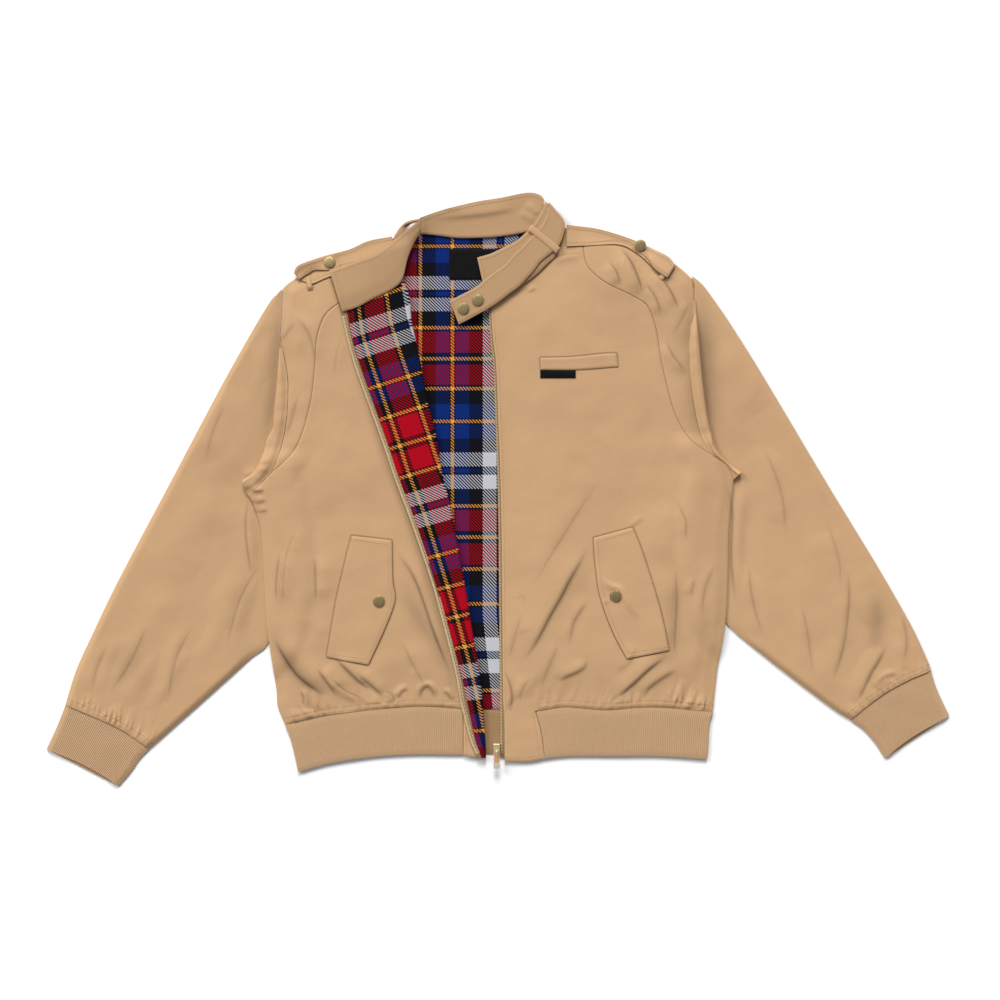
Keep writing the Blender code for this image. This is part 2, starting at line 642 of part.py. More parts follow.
def front(side):
    """The front's shell, from the yoke seam, the underarm and the side to its opening edge."""
    outer = side.seams["yoke"] + side.seams["underarm"][1:] + side.seams["side"][1:]
    opening = matched(side.edges["opening"], outer)
    if side.name == "right":
        opening = turned_in(opening, Vector((-400, 0)), LAPEL_INSET)
    neck = ruled([outer[0]], [opening[0]], FRONT_COLUMNS)[0]
    hem = curve(side.edges["hem"], FRONT_COLUMNS)
    hem[-1] = opening[-1]
    plan = seamed(patch(outer, opening, neck, hem, fade=3))
    panel(f"{side.name}_front", plan, side.top, CLOTH, TAN, side.relief)


def shoulder_panel(side):
    """The curved yoke between the neck and the underarm."""
    armhole = curve(side.edges["armhole"], [share ** YOKE_LEAN for share in even(SEAM_STEPS["yoke"])])
    rows = ruled(armhole, side.seams["yoke"], YOKE_COLUMNS)
    shoulder = curve(side.edges["shoulder"], YOKE_COLUMNS)
    last = [a.lerp(b, 0.75) for a, b in zip(rows[-2], rows[-1])]
    plan = patch([row[0] for row in rows[:-1]], [row[-1] for row in rows[:-1]], shoulder, rows[-2]) + [last]
    panel(f"{side.name}_shoulder_panel", seamed(plan, 0.35), side.top, CLOTH, TAN, side.relief)


def sleeve_head(side):
    """The sleeve's own cloth folded over on itself along the armhole."""
    fold = curve(side.edges["sleeve_fold"], 60)
    seam = [point for point in side.arm if point.y < fold[0].y]
    seam = turned_in(seam, fold[30], SEAM_GAP)
    ends = resampled(fold, [i / (len(seam) - 1) for i in range(len(seam))])
    widths = [(a - b).length for a, b in zip(ends, seam)]
    rows = [[end, point] for end, point in zip(ends, seam)]

    def top(point):
        return side.top(point) + HEAD_RISE * smooth(distance(point, seam) / HEAD_RAMP)

    folded(f"{side.name}_sleeve_head", rows, widths, [min(w - 0.4, HEAD_TUCK) for w in widths], top,
           lambda p: side.sleeve_top(p) + 2 * SEAM_GAP, CLOTH, TAN)


def tube(name, plan, top, thickness, colour, relief, lowest=EDGE_MIDDLE):
    """A flattened tube: each row of the plan is one section, from its outer edge to its inner edge."""
    outer, inner = [], []
    for row in plan:
        width = (row[-1] - row[0]).length
        across = (row[-1] - row[0]).normalized()
        outside, inside = [], []
        for j, point in enumerate(row):
            edge = min((point - row[0]).length, (point - row[-1]).length)
            height = lowest
            if 0 < j < len(row) - 1:
                height += (top(point) - lowest) * smooth(0.25 + edge / EDGE_ROUND)
            outside.append(Vector((point.x, point.y, height + relief(point, j) * smooth(edge / EDGE_ROUND))))
            inset = point + across * (thickness if j == 0 else -thickness if j == len(row) - 1 else 0)
            inside.append(Vector((inset.x, inset.y, max(height - thickness, thickness + 0.3))))
        for n in range(SLEEVE_UNDER_STEPS + 1):
            reach = width - EDGE_TURN - (width - 2 * EDGE_TURN) * n / SLEEVE_UNDER_STEPS
            point = row[0] + across * reach
            outside.append(Vector((point.x, point.y, 0)))
            reach = width - 2 * EDGE_TURN - (width - 4 * EDGE_TURN) * n / SLEEVE_UNDER_STEPS
            point = row[0] + across * reach
            inside.append(Vector((point.x, point.y, thickness)))
        outer.append(outside)
        inner.append(inside)
    return wall(name, outer, inner, colour, ring=True)


def sleeve(side):
    """The sleeve as a flattened tube from the shoulder tip to the cuff seam."""
    outer, inner = curve(side.edges["sleeve_outer"], SLEEVE_ROWS), curve(side.edges["sleeve_inner"], SLEEVE_ROWS)
    start = ruled(outer[:1], inner[:1], SLEEVE_TOP_STEPS)[0]
    cuff = curve(side.edges["cuff_seam"], SLEEVE_TOP_STEPS)
    outer[-1], inner[-1] = cuff[0], cuff[-1]
    seam = curve(side.edges["cuff_seam"], 12)

    def relief(point, column):
        gather = GATHER_RISE * math.exp(-(distance(point, seam) / GATHER_REACH) ** 2) * (column % 2)
        return max(fold_rise(point) * smooth(distance(point, side.body) / SLEEVE_RAMP[0]), gather)

    tube(f"{side.name}_sleeve", seamed(patch(outer, inner, start, cuff)), side.sleeve_top, CLOTH, TAN, relief)


def cuff(side):
    """The ribbed cuff, a short tube in line with the sleeve."""
    outer, inner = curve(side.edges["cuff_outer"], CUFF_ROWS), curve(side.edges["cuff_inner"], CUFF_ROWS)
    seam, end = curve(side.edges["cuff_seam"], 2 * CUFF_RIBS), curve(side.edges["cuff_end"], 2 * CUFF_RIBS)
    outer[0], inner[0], end[0], end[-1] = seam[0], seam[-1], outer[-1], inner[-1]
    tube(f"{side.name}_cuff", seamed(patch(outer, inner, seam, end)), lambda p: CUFF_TOP, CUFF_WALL, TAN_RIB,
         lambda p, column: RIB_RISE * (column % 2))


def hem(side):
    """The ribbed hem of one front, and the woven end beside its opening."""
    line = curve(side.edges["hem"], 300)
    band_x = side.edges["band_edge"][0][0]
    ribbed = [p for p in line if (p.x - band_x) * side.outward > 0]
    plain = [p for p in line if (p.x - band_x) * side.outward <= 0]
    seam = resampled(ribbed, even(2 * HEM_RIBS))
    rib_side, band_edge = curve(side.edges["rib_side"], 2), curve(side.edges["band_edge"], 2)
    end = curve(side.edges["rib_end"], 2 * HEM_RIBS)
    rib_side[0], band_edge[0], rib_side[-1], band_edge[-1] = seam[0], seam[-1], end[0], end[-1]
    plan = seamed(patch(rib_side, band_edge, seam, end))
    top = [[Vector((p.x, p.y, RIB_FLOOR + RIB + RIB_RISE * (j % 2))) for j, p in enumerate(row)] for row in plan]
    under = [[Vector((p.x, p.y, RIB_FLOOR)) for p in row] for row in plan]
    wall(f"{side.name}_hem_rib", top, under, TAN_RIB)
    front_edge = curve(side.edges["front_edge"], 6)
    if side.name == "right":
        front_edge = turned_in(front_edge, Vector((-400, -300)), LAPEL_INSET)
    band_edge = curve(side.edges["band_edge"], 6)
    seam, end = resampled(plain, even(4)), curve(side.edges["band_end"], 4)
    band_edge[0], seam[-1], end[0], end[-1] = seam[0], front_edge[0], band_edge[-1], front_edge[-1]
    plan = seamed(patch(band_edge, front_edge, seam, end))
    panel(f"{side.name}_hem_band", plan, lambda p: HEM_TOP, CLOTH, TAN)


def lapel(side):
    """The right front's turned-back edge: its shell, its zip tape, and the tartan lining round the fold."""
    fold, tartan, tape = [curve(table, LAPEL_ROWS) for table in (LAPEL_FOLD, TARTAN_EDGE, ZIP_EDGE)]
    lines = [[a, b] for a, b in zip(fold, turned_in(tartan, Vector((400, 0)), SEAM_GAP))]
    inset = [along(line, TURNBACK_INSET) for line in lines]
    shell = ruled(turned_in(tape, Vector((400, 0)), TAPE_OVERHANG), inset, 8)
    panel("right_turnback", shell, lambda p: side.top(p) + SHELL_RISE, TURNBACK, TAN)
    tape_plan = seamed(ruled(tape, tartan, 2))
    panel("right_zip_tape", tape_plan, lambda p: side.top(p) + LINING_RISE, TAPE, TAN)
    widths = [(b - a).length for a, b in lines]
    folded("right_front_lining", lines, widths, [LAPEL_TUCK] * len(lines),
           lambda p: side.top(p) + LINING_RISE, lambda p: side.top(p) - CLOTH - TUCK_GAP - LINING,
           LINING, TARTAN_RED, (7, 4, 2))


def left_zip_tape(side):
    edge = curve(LEFT_ZIP_EDGE, 24)
    plan = ruled(edge, turned_in(edge, Vector((400, 0)), LEFT_TAPE_WIDTH), 2)
    panel("left_zip_tape", plan, lambda p: LEFT_TAPE_TOP, TAPE, TAN)


def collar():
    """The stand collar: its right end and middle show their inside, its left end the outside."""
    right, left = SIDES

    def left_seam(point):
        return left.top(point) + LAY_GAP + COLLAR

    neck, top = curve(COLLAR_RIGHT_NECK, 14), curve(COLLAR_RIGHT_TOP, 14)
    sheet("collar_right", ruled(neck, top, 6), COLLAR, TAN,
          lambda p, u, v: right.top(p) + LINING_RISE + LAY_GAP + COLLAR + COLLAR_LIFT * smooth(v / 0.4))
    neck, top = curve(COLLAR_BACK_NECK, 14), curve(COLLAR_BACK_TOP, 14)
    sheet("collar_back", ruled(neck, top, 5), COLLAR, TAN,
          lambda p, u, v: LINING_TOP + LAY_GAP + COLLAR - COLLAR_DROP * smooth(v / 0.3))
    neck, top = curve(COLLAR_LEFT_NECK, 16), curve(COLLAR_LEFT_TOP, 16)
    sheet("collar_left", ruled(neck, top, 6), COLLAR, TAN,
          lambda p, u, v: left_seam(p) + (COLLAR_LEFT_HEIGHT - left_seam(p)) * smooth(v / 0.3))


def sheet(name, plan, thickness, colour, height):
    """A panel whose height depends on the place along it (u) and across it (v)."""
    plan = seamed(plan)
    rows, columns = len(plan) - 1, len(plan[0]) - 1
    outer = [[Vector((p.x, p.y, height(p, i / rows, j / columns))) for j, p in enumerate(row)]
             for i, row in enumerate(plan)]
    inner = [[point - Vector((0, 0, thickness)) for point in row] for row in outer]
    return wall(name, outer, inner, colour)


def ribbon(centre, width, columns=4):
    """Plan points of a strip of even width round a centre line."""
    run = centre[1] - centre[0]
    far = 1000 * Vector((-run.y, run.x)).normalized()
    edges = [turned_in(centre, centre[0] + far * way, width / 2) for way in (1, -1)]
    return ruled(*edges, columns)


def strap():
    """The throat strap, its stretch behind the collar and its keeper."""
    upper, lower = curve(STRAP_UPPER, 28), curve(STRAP_LOWER, 28)
    centre = [a.lerp(b, 0.5) for a, b in zip(upper, lower)]

    def height(point):
        near = min(range(len(centre)), key=lambda n: (centre[n] - point).length)
        return STRAP_TOP - STRAP_DROP * smooth(1 - near / (STRAP_DROPPED * len(centre)))

    sheet("throat_strap", ruled(upper, lower, 4), STRAP, TAN, lambda p, u, v: height(p))
    behind = ruled(curve(STRAP_BACK_OUTER, 18), curve(STRAP_BACK_INNER, 18), 2)
    foot_x, foot_ramp = STRAP_FOOT
    sheet("strap_back", behind, STRAP, TAN,
          lambda p, u, v: STRAP + STRAP_RISE * smooth((foot_x - p.x) / foot_ramp))
    start, end = [Vector(point) for point in STRAP_KEEPER]
    centre_line = [start.lerp(end, t) for t in even(10)]
    over = STRAP_TOP + LAY_GAP + LINING
    sheet("strap_keeper", ribbon(centre_line, KEEPER_WIDTH, 2), LINING, TAN,
          lambda p, u, v: over - SEAM_GAP * (1 - smooth((0.5 - abs(u - 0.5)) / 0.13)))
    for name, place in STRAP_SNAPS.items():
        snap(name, place, height)


def epaulette(side):
    """The epaulette: it runs out through its keeper and is folded back over it."""
    over, low, high = [curve(side.edges[f"epaulette_{edge}"], 16) for edge in ("over", "low", "high")]
    rows = [[a.lerp(b, w) for a, b in zip(over, high)] for w in even(4)]
    under_rows = [[a.lerp(b, w) for a, b in zip(low, high)] for w in even(4)]
    lengths = [sum((b - a).length for a, b in zip(row, row[1:])) for row in under_rows]
    bar = EPAULETTE_GAP + CLOTH + LAY_GAP + LINING
    start, end = [Vector(point) for point in side.edges["epaulette_keeper"]]

    def face(point):
        away = smooth(((point - end).length - EPAULETTE_RAMP) / EPAULETTE_RAMP)
        return side.top(point) + bar + EPAULETTE_GAP + CLOTH - (LINING + EPAULETTE_GAP) * away

    folded(f"{side.name}_epaulette", rows, [side.edges["epaulette_back"]] * len(rows), lengths,
           face, lambda p: side.top(p) + EPAULETTE_GAP, CLOTH, TAN, (6, 4, 16), under_rows)
    centre = [start.lerp(end, t) for t in even(6)]
    sheet(f"{side.name}_epaulette_keeper", ribbon(centre, EPAULETTE_KEEPER_WIDTH, 2), LINING, TAN,
          lambda p, u, v: side.top(p) + bar - (CLOTH + LAY_GAP) * smooth(1 - 4 * u))
    snap(f"{side.name}_shoulder_snap", side.edges["shoulder_snap"], face)


def pocket_flap(side):
    """The slanted flap of a side pocket, closed by its snap."""
    sewn, free = curve(side.edges["flap_sewn"], 12), curve(side.edges["flap_free"], 12)
    sheet(f"{side.name}_pocket_flap", ruled(sewn, free, 6), CLOTH, TAN,
          lambda p, u, v: side.face(p) + FLAP_GAP + CLOTH)
    snap(f"{side.name}_pocket_snap", side.edges["pocket_snap"], lambda p: side.face(p) + FLAP_GAP + CLOTH)


def chest(side):
    """The chest pocket's welt with a plain label below it."""
    sewn, free = curve(WELT_SEWN, 10), curve(WELT_FREE, 10)
    sheet("chest_welt", ruled(sewn, free, 2), CLOTH, TAN, lambda p, u, v: side.face(p) + FLAP_GAP + CLOTH)
    sheet("chest_label", oblong(CHEST_LABEL, 5, 2), LINING, BLACK,
          lambda p, u, v: side.face(p) + FLAP_GAP + LINING)


def oblong(corners, rows, columns):
    (x0, y0), (x1, y1) = corners
    return ruled([Vector((x0 + (x1 - x0) * t, y0)) for t in even(rows)],
                 [Vector((x0 + (x1 - x0) * t, y1)) for t in even(rows)], columns)


def neck_label():
    sheet("neck_label", oblong(NECK_LABEL, 4, 4), LABEL, BLACK, lambda p, u, v: LINING_TOP + LAY_GAP + LABEL)


def snap(name, place, height):
    """A domed snap cap, a turned profile tilted to lie on the cloth."""
    centre = Vector(place)
    dx, dy = Vector((SNAP_RADIUS, 0)), Vector((0, SNAP_RADIUS))
    slope = Vector((height(centre + dx) - height(centre - dx), height(centre + dy) - height(centre - dy)))
    normal = Vector((-slope.x, -slope.y, 2 * SNAP_RADIUS)).normalized()
    angles = [k * math.pi / 4 for k in range(8)]
    ring = [centre + Vector((math.cos(a), math.sin(a))) * SNAP_RADIUS for a in angles]
    seat = height(centre)
    lift = max(height(p) - seat + normal.xy.dot(p - centre) / normal.z for p in ring)
    form = bmesh.new()
    points = [form.verts.new((r * SNAP_RADIUS * MM, 0, z * MM)) for r, z in SNAP_PROFILE]
    for a, b in zip(points, points[1:]):
        form.edges.new((a, b))
    mesh = bpy.data.meshes.new(name)
    form.to_mesh(mesh)
    form.free()
    cap = placed(name, mesh, BRASS, 0.35, 1.0)
    cap.location = (centre.x * MM, centre.y * MM, (seat + max(lift, 0) + SEAM_GAP) * MM)
    cap.rotation_euler = Vector((0, 0, 1)).rotation_difference(normal).to_euler()
    turn = cap.modifiers.new("Turned", "SCREW")
    turn.steps = turn.render_steps = SNAP_SIDES
    turn.use_merge_vertices = True
    turn.merge_threshold = 1e-5
    turn.use_normal_calculate = True
    turn.use_normal_flip = True


def block(name, size, centre, colour, bevel, metallic=0.0):
    """A bevelled box at its place in millimetres."""
    form = bmesh.new()
    bmesh.ops.create_cube(form, size=1)
    bmesh.ops.scale(form, vec=Vector(size) * MM, verts=form.verts)
    mesh = bpy.data.meshes.new(name)
    form.to_mesh(mesh)
    form.free()
    made = placed(name, mesh, colour, 0.35, metallic)
    made.location = Vector(centre) * MM
    rounding = made.modifiers.new("Rounded", "BEVEL")
    rounding.width = bevel * MM
    rounding.segments = 2
    return made


def cut(target, size, centre, join=False):
    """Cuts a box out of an object, or joins a box to it."""
    cutter = block(f"{target.name}_box_{len(cutters.objects)}", size, centre, BRASS, 0.3)
    jacket.objects.unlink(cutter)
    cutters.objects.link(cutter)
    cutter.hide_render = True
    cutter.display_type = "WIRE"
    made = target.modifiers.new("Box", "BOOLEAN")
    made.operation = "UNION" if join else "DIFFERENCE"
    made.object = cutter
    made.solver = "EXACT"


def zip_slider():
    """The slider at the foot of the left tape, and the pull tab that swings on its crown."""
    x, y = SLIDER_PLACE
    high = SLIDER_SIZE[2]
    body = block("zip_slider", SLIDER_SIZE, (x, y, SLIDER_FLOOR + high / 2), BRASS, 0.8, 1.0)
    crown_top = HINGE_HEIGHT + CROWN_HOLE / 2 + CROWN_WALL
    crown_low = SLIDER_FLOOR + high
    crown = (CROWN_WIDTH, CROWN_HOLE + 2 * CROWN_WALL, crown_top - crown_low + 1)
    cut(body, crown, (x, HINGE_Y, (crown_top + crown_low - 1) / 2), join=True)
    hole_top = crown_top - CROWN_WALL
    hole_size = (CROWN_WIDTH + 2, CROWN_HOLE, hole_top - crown_low)
    cut(body, hole_size, (x, HINGE_Y, (hole_top + crown_low) / 2))
    length, thick = TAB_SIZE[1:]
    tab = block("zip_pull_tab", TAB_SIZE, (x, HINGE_Y + (EYE_BAR - length) / 2, HINGE_HEIGHT), TAN, 0.3)
    cut(tab, (EYE_WIDE, EYE_LONG, thick + 2), (x, HINGE_Y - (EYE_BAR + EYE_LONG) / 2, HINGE_HEIGHT))


for item in list(bpy.data.objects):
    bpy.data.objects.remove(item, do_unlink=True)
jacket = bpy.data.collections.new("harrington_jacket")
cutters = bpy.data.collections.new("cutters")
for group in (jacket, cutters):
    bpy.context.scene.collection.children.link(group)

FOLD_LINES = fold_lines()
ZIP_LINE = curve(ZIP_EDGE, 60)
SIDES = [Side("right", RIGHT), Side("left", LEFT)]
back_body()
back_lining()
back_hem_rib()
for one in SIDES:
    front(one)
    shoulder_panel(one)
    sleeve_head(one)
    sleeve(one)
    cuff(one)
    hem(one)
    epaulette(one)
    pocket_flap(one)
lapel(SIDES[0])
left_zip_tape(SIDES[1])
chest(SIDES[1])
collar()
strap()
neck_label()
zip_slider()
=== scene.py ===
# %% [markdown]
# # A harrington jacket, laid flat and open
# The jacket lies on its back on a pale floor, seen from straight above. Its cloth is thin, so nearly all
# of its look comes from how each cut piece lies on the next one, from soft folds, and from close-up
# detail: topstitching, ribs, a zip and a tartan lining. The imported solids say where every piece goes.
# Each one is built again here as a finer wall of cloth, from the same curves, and then dressed.

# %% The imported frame
import itertools
import math

import bmesh
import bpy
import numpy as np
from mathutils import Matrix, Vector, noise
from mathutils.bvhtree import BVHTree


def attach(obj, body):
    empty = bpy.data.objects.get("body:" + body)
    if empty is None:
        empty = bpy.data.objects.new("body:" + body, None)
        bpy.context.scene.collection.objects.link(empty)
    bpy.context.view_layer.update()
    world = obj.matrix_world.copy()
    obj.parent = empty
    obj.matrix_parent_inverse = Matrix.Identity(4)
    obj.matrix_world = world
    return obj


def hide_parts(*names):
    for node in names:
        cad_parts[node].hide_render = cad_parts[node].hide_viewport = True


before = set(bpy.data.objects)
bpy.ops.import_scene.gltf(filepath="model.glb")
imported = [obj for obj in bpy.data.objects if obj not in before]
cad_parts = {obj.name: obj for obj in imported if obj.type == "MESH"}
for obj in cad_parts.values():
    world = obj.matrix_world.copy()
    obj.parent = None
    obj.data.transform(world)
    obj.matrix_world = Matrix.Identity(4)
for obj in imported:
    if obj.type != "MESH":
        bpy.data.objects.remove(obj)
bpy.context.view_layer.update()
MM = 0.001
JACKET = "jacket"
# Places far out in the plan in millimetres, to say which way a line is moved.
LEFTWARDS, RIGHTWARDS = (400, 0), (-400, 0)
print("nodes in the frame:", len(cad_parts))

# %% [markdown]
# ## Curves in the plan
# A pattern maker draws a jacket with smooth curves through a few known points. The same is done here:
# a short table of points in millimetres, seen from above, and one smooth curve through them. Bezier
# curve objects would do as well, but plain arrays can be measured, joined and filled with points.


# %% Smooth curves through tables
def resampled(points, shares):
    """Points at the given shares of a polyline's length."""
    lengths = np.concatenate([[0], np.cumsum(np.linalg.norm(np.diff(points, axis=0), axis=1))])
    places = np.asarray(shares) * lengths[-1]
    return np.stack([np.interp(places, lengths, points[:, k]) for k in range(points.shape[1])], axis=1)


def even(steps):
    return np.linspace(0, 1, steps + 1)


CURVE_STEPS = 12


def curve(table, steps):
    """The smooth curve through a table's rows, at even steps or at the given shares of its length."""
    rows = np.array(table, float)
    ends = np.vstack([2 * rows[0] - rows[1], rows, 2 * rows[-1] - rows[-2]])
    t = np.arange(CURVE_STEPS)[:, None] / CURVE_STEPS
    fine = []
    for a, b, c, d in zip(ends, ends[1:], ends[2:], ends[3:]):
        bend, twist = 2 * a - 5 * b + 4 * c - d, 3 * b - a - 3 * c + d
        fine.append(0.5 * (2 * b + (c - a) * t + bend * t ** 2 + twist * t ** 3))
    fine = np.vstack(fine + [rows[-1:]])
    return resampled(fine, even(steps) if isinstance(steps, int) else steps)


def length_of(line):
    return float(np.linalg.norm(np.diff(line, axis=0), axis=1).sum())


def smooth(t):
    """A soft step from 0 to 1."""
    t = np.clip(t, 0, 1)
    return t * t * (3 - 2 * t)


def nearest(points, line):
    """For each point: its distance to a polyline, which side of it the point is on, and how far along."""
    flat = np.asarray(points, float)[..., :2].reshape(-1, 2)
    best = np.full(len(flat), np.inf)
    side, reach, before = np.zeros(len(flat)), np.zeros(len(flat)), 0.0
    for a, b in zip(line[:-1, :2], line[1:, :2]):
        run = b - a
        long = math.hypot(*run)
        if long == 0:
            continue
        away = flat - a
        t = np.clip(away @ run / long ** 2, 0, 1)
        far = np.linalg.norm(away - t[:, None] * run, axis=1)
        closer = far < best
        best = np.where(closer, far, best)
        side = np.where(closer, np.sign(run[0] * away[:, 1] - run[1] * away[:, 0]), side)
        reach = np.where(closer, before + t * long, reach)
        before += long
    shape = np.shape(points)[:-1]
    return best.reshape(shape), side.reshape(shape), reach.reshape(shape)


def distance(points, line):
    return nearest(points, line)[0]


def sideways(line, inward):
    """Unit vectors across a polyline, each towards a point or towards a matching line."""
    run = np.gradient(line, axis=0)
    normal = np.stack([-run[:, 1], run[:, 0]], axis=1)
    normal /= np.linalg.norm(normal, axis=1, keepdims=True)
    wrong = np.einsum("ij,ij->i", normal, np.asarray(inward, float) - line) < 0
    normal[wrong] *= -1
    return normal


def turned_in(line, inward, amount):
    """A polyline moved sideways, towards the point called inward."""
    return line + sideways(line, inward) * amount


def inside(points, outline):
    """Which points lie inside a closed outline."""
    found = np.zeros(len(points), bool)
    for a, b in zip(outline[:-1], outline[1:]):
        if a[1] != b[1]:
            crosses = (a[1] > points[:, 1]) != (b[1] > points[:, 1])
            found ^= crosses & (points[:, 0] < a[0] + (points[:, 1] - a[1]) * (b[0] - a[0]) / (b[1] - a[1]))
    return found


def outline_of(*edges):
    """A closed outline through edges that follow each other."""
    line = np.vstack([np.asarray(edge, float) for edge in edges])
    return np.vstack([line, line[:1]])


# %% [markdown]
# ## The pattern pieces
# These tables hold the seams and edges of both sides, with x towards the wearer's left sleeve and y
# towards the collar. They are the same curves that the solids were made from, so every piece of cloth
# lands on its own solid. They could have been read back from the solids' corners, but a curve knows
# which seam it is, and that is needed for stitches and folds.

# %% Seams and edges in millimetres, columns x and y
RIGHT = {
    "shoulder": [(-283, 266), (-268, 278), (-225, 300), (-172, 322), (-131, 334)],
    "armhole": [(-283, 266), (-285, 224), (-286, 198), (-280, 169), (-276, 139), (-278, 92), (-286, 53),
                (-298, 22)],
    "underarm": [(-298, 22), (-311, 9), (-319, 1), (-331, -4)],
    "side": [(-331, -4), (-322, -18), (-312, -52), (-308, -106), (-304, -177), (-292, -261),
             (-290, -285), (-280, -310)],
    "yoke": [(-131, 334), (-135, 290), (-155, 271), (-188, 255), (-210, 245), (-228, 228), (-238, 198),
             (-241, 158), (-247, 112), (-262, 62), (-280, 38), (-298, 22)],
    "opening": [(-114, 322), (-122, 300), (-128, 280), (-119, 251), (-114, 224), (-105, 185), (-92, 116),
                (-81, 73), (-71, 13), (-63, -13), (-56, -53), (-46, -106), (-31, -198), (-24, -238),
                (-19, -288)],
    "hem": [(-280, -310), (-224, -297), (-146, -288), (-100, -285), (-45, -288), (-19, -288)],
    "sleeve_fold": [(-287.6, 188), (-289, 165), (-291, 139), (-295, 99), (-296, 82), (-304, 66),
                    (-308, 50), (-320, 25), (-336, 13)],
    "sleeve_outer": [(-292, 257), (-298, 251), (-315, 224), (-345, 172), (-374, 119), (-430, 13),
                     (-486, -92), (-513, -145), (-538, -198), (-556, -238), (-570, -283)],
    "sleeve_inner": [(-283.6, 265), (-285.5, 224), (-286.6, 198), (-282, 169), (-279, 139), (-281, 92),
                     (-289, 55), (-297, 30), (-296, 5), (-289, -30), (-284, -66), (-285, -145),
                     (-302, -201), (-328, -224), (-387, -277), (-459, -341)],
    "bed_from": 58,
    "cuff_seam": [(-570, -283), (-525, -302), (-492, -318), (-459, -341)],
    "cuff_outer": [(-570, -284), (-582, -314), (-595, -342)],
    "cuff_inner": [(-459, -342), (-472, -355), (-483, -371), (-500, -391)],
    "cuff_end": [(-595, -342), (-551, -360), (-518, -378), (-500, -391)],
    "rib_side": [(-280, -311), (-274, -325), (-267, -352), (-263, -372)],
    "rib_end": [(-263, -372), (-228, -362), (-181, -354), (-122, -349), (-45, -349)],
    "band_edge": [(-45, -289), (-45, -318), (-45, -349)],
    "front_edge": [(-21, -289), (-18, -318), (-17, -352)],
    "band_end": [(-45, -349), (-33, -352), (-17, -352)],
    "back_rib_end": [(-262, -371), (-228, -361), (-181, -353), (-122, -348), (-45, -348), (5, -350)],
    "epaulette_over": [(-262, 277), (-250, 285), (-240, 290), (-221, 290), (-190, 296), (-160, 302)],
    "epaulette_low": [(-262, 277), (-252, 274), (-243, 272), (-221, 281), (-190, 288), (-160, 298),
                      (-136, 306)],
    "epaulette_high": [(-268, 286), (-264, 294), (-254, 299), (-228, 308), (-195, 317), (-170, 328),
                       (-139, 334)],
    "epaulette_back": 60,
    "epaulette_keeper": [(-246, 263), (-250, 281)],
    "shoulder_snap": (-221, 300),
    "flap_sewn": [(-192, -60), (-200, -92), (-213, -149), (-225, -220)],
    "flap_free": [(-139, -66), (-138, -119), (-135, -145), (-148, -182), (-170, -230)],
    "pocket_snap": (-156, -146),
}
LEFT = {
    "shoulder": [(259, 269), (254, 281), (225, 304), (175, 327), (130, 340), (113, 344)],
    "armhole": [(259, 269), (257, 238), (252, 189), (255, 139), (261, 99), (269, 69), (284, 44)],
    "underarm": [(284, 44), (294, 38), (304, 30), (311, 14)],
    "side": [(311, 14), (308, -13), (304, -61), (303, -119), (300, -176), (290, -238), (284, -293)],
    "yoke": [(113, 344), (113, 319), (119, 294), (142, 273), (175, 257), (197, 242), (209, 211),
             (214, 178), (222, 141), (234, 99), (254, 66), (284, 44)],
    "opening": [(86, 346), (81, 331), (74, 313), (64, 302), (45, 285), (20, 266), (-3, 247), (-9, 238),
                (-8, 226), (-6, 198), (-2, 165), (1, 92), (3, 40), (5, -40), (6, -145), (7, -264),
                (8, -290)],
    "hem": [(284, -293), (247, -289), (201, -286), (142, -290), (90, -286), (50, -291), (8, -290)],
    "sleeve_fold": [(261, 250), (263, 224), (265, 200), (270, 145), (276, 99), (281, 77), (288, 54),
                    (307, 34), (321, 24)],
    "sleeve_outer": [(257, 282), (265, 276), (272, 269), (281, 257), (304, 224), (337, 172), (369, 119),
                     (432, 13), (496, -92), (527, -145), (549, -185), (567, -224), (572, -238)],
    "sleeve_inner": [(260, 268), (257.5, 238), (256, 189), (259, 139), (265, 99), (273, 69), (282, 48),
                     (286, 25), (280, -40), (278, -80), (280, -125), (301, -175), (355, -222),
                     (437, -285), (465, -303)],
    "bed_from": 78,
    "cuff_seam": [(572, -238), (541, -251), (506, -271), (465, -303)],
    "cuff_outer": [(572, -239), (580, -264), (596, -298)],
    "cuff_inner": [(465, -304), (483, -317), (498, -334), (511, -354)],
    "cuff_end": [(596, -298), (558, -319), (534, -335), (511, -354)],
    "rib_side": [(284, -294), (280, -308), (278, -338), (276, -355)],
    "rib_end": [(276, -355), (213, -351), (142, -351), (94, -351), (62, -354)],
    "band_edge": [(50, -292), (57, -317), (60, -337), (62, -354)],
    "front_edge": [(8, -291), (9, -318), (9, -357)],
    "band_end": [(62, -354), (36, -358), (9, -357)],
    "back_rib_end": [(275, -354), (213, -350), (142, -350), (94, -350), (5, -350)],
    "epaulette_over": [(224, 279), (208, 290), (199, 303), (188, 312), (162, 325), (122, 322)],
    "epaulette_low": [(224, 279), (208, 290), (188, 309), (162, 323), (122, 322), (91, 321)],
    "epaulette_high": [(234, 295), (225, 307), (201, 319), (175, 331), (132, 344), (91, 349)],
    "epaulette_back": 62,
    "epaulette_keeper": [(213, 275), (223, 291)],
    "shoulder_snap": (188, 322),
    "flap_sewn": [(178, -49), (190, -79), (203, -119), (215, -160), (226, -211)],
    "flap_free": [(126, -63), (129, -100), (135, -140), (151, -185), (170, -222)],
    "pocket_snap": (155, -139),
}
print("seams and edges of each side:", len(RIGHT))

# %% [markdown]
# ## Collar, strap, lapel and zip
# The stand collar is one band, but its right end and middle show the inside and its left end the outside, so
# each third has two curves of its own. The lapel's fold and the zip's edges are lines that the strips beside
# them follow.

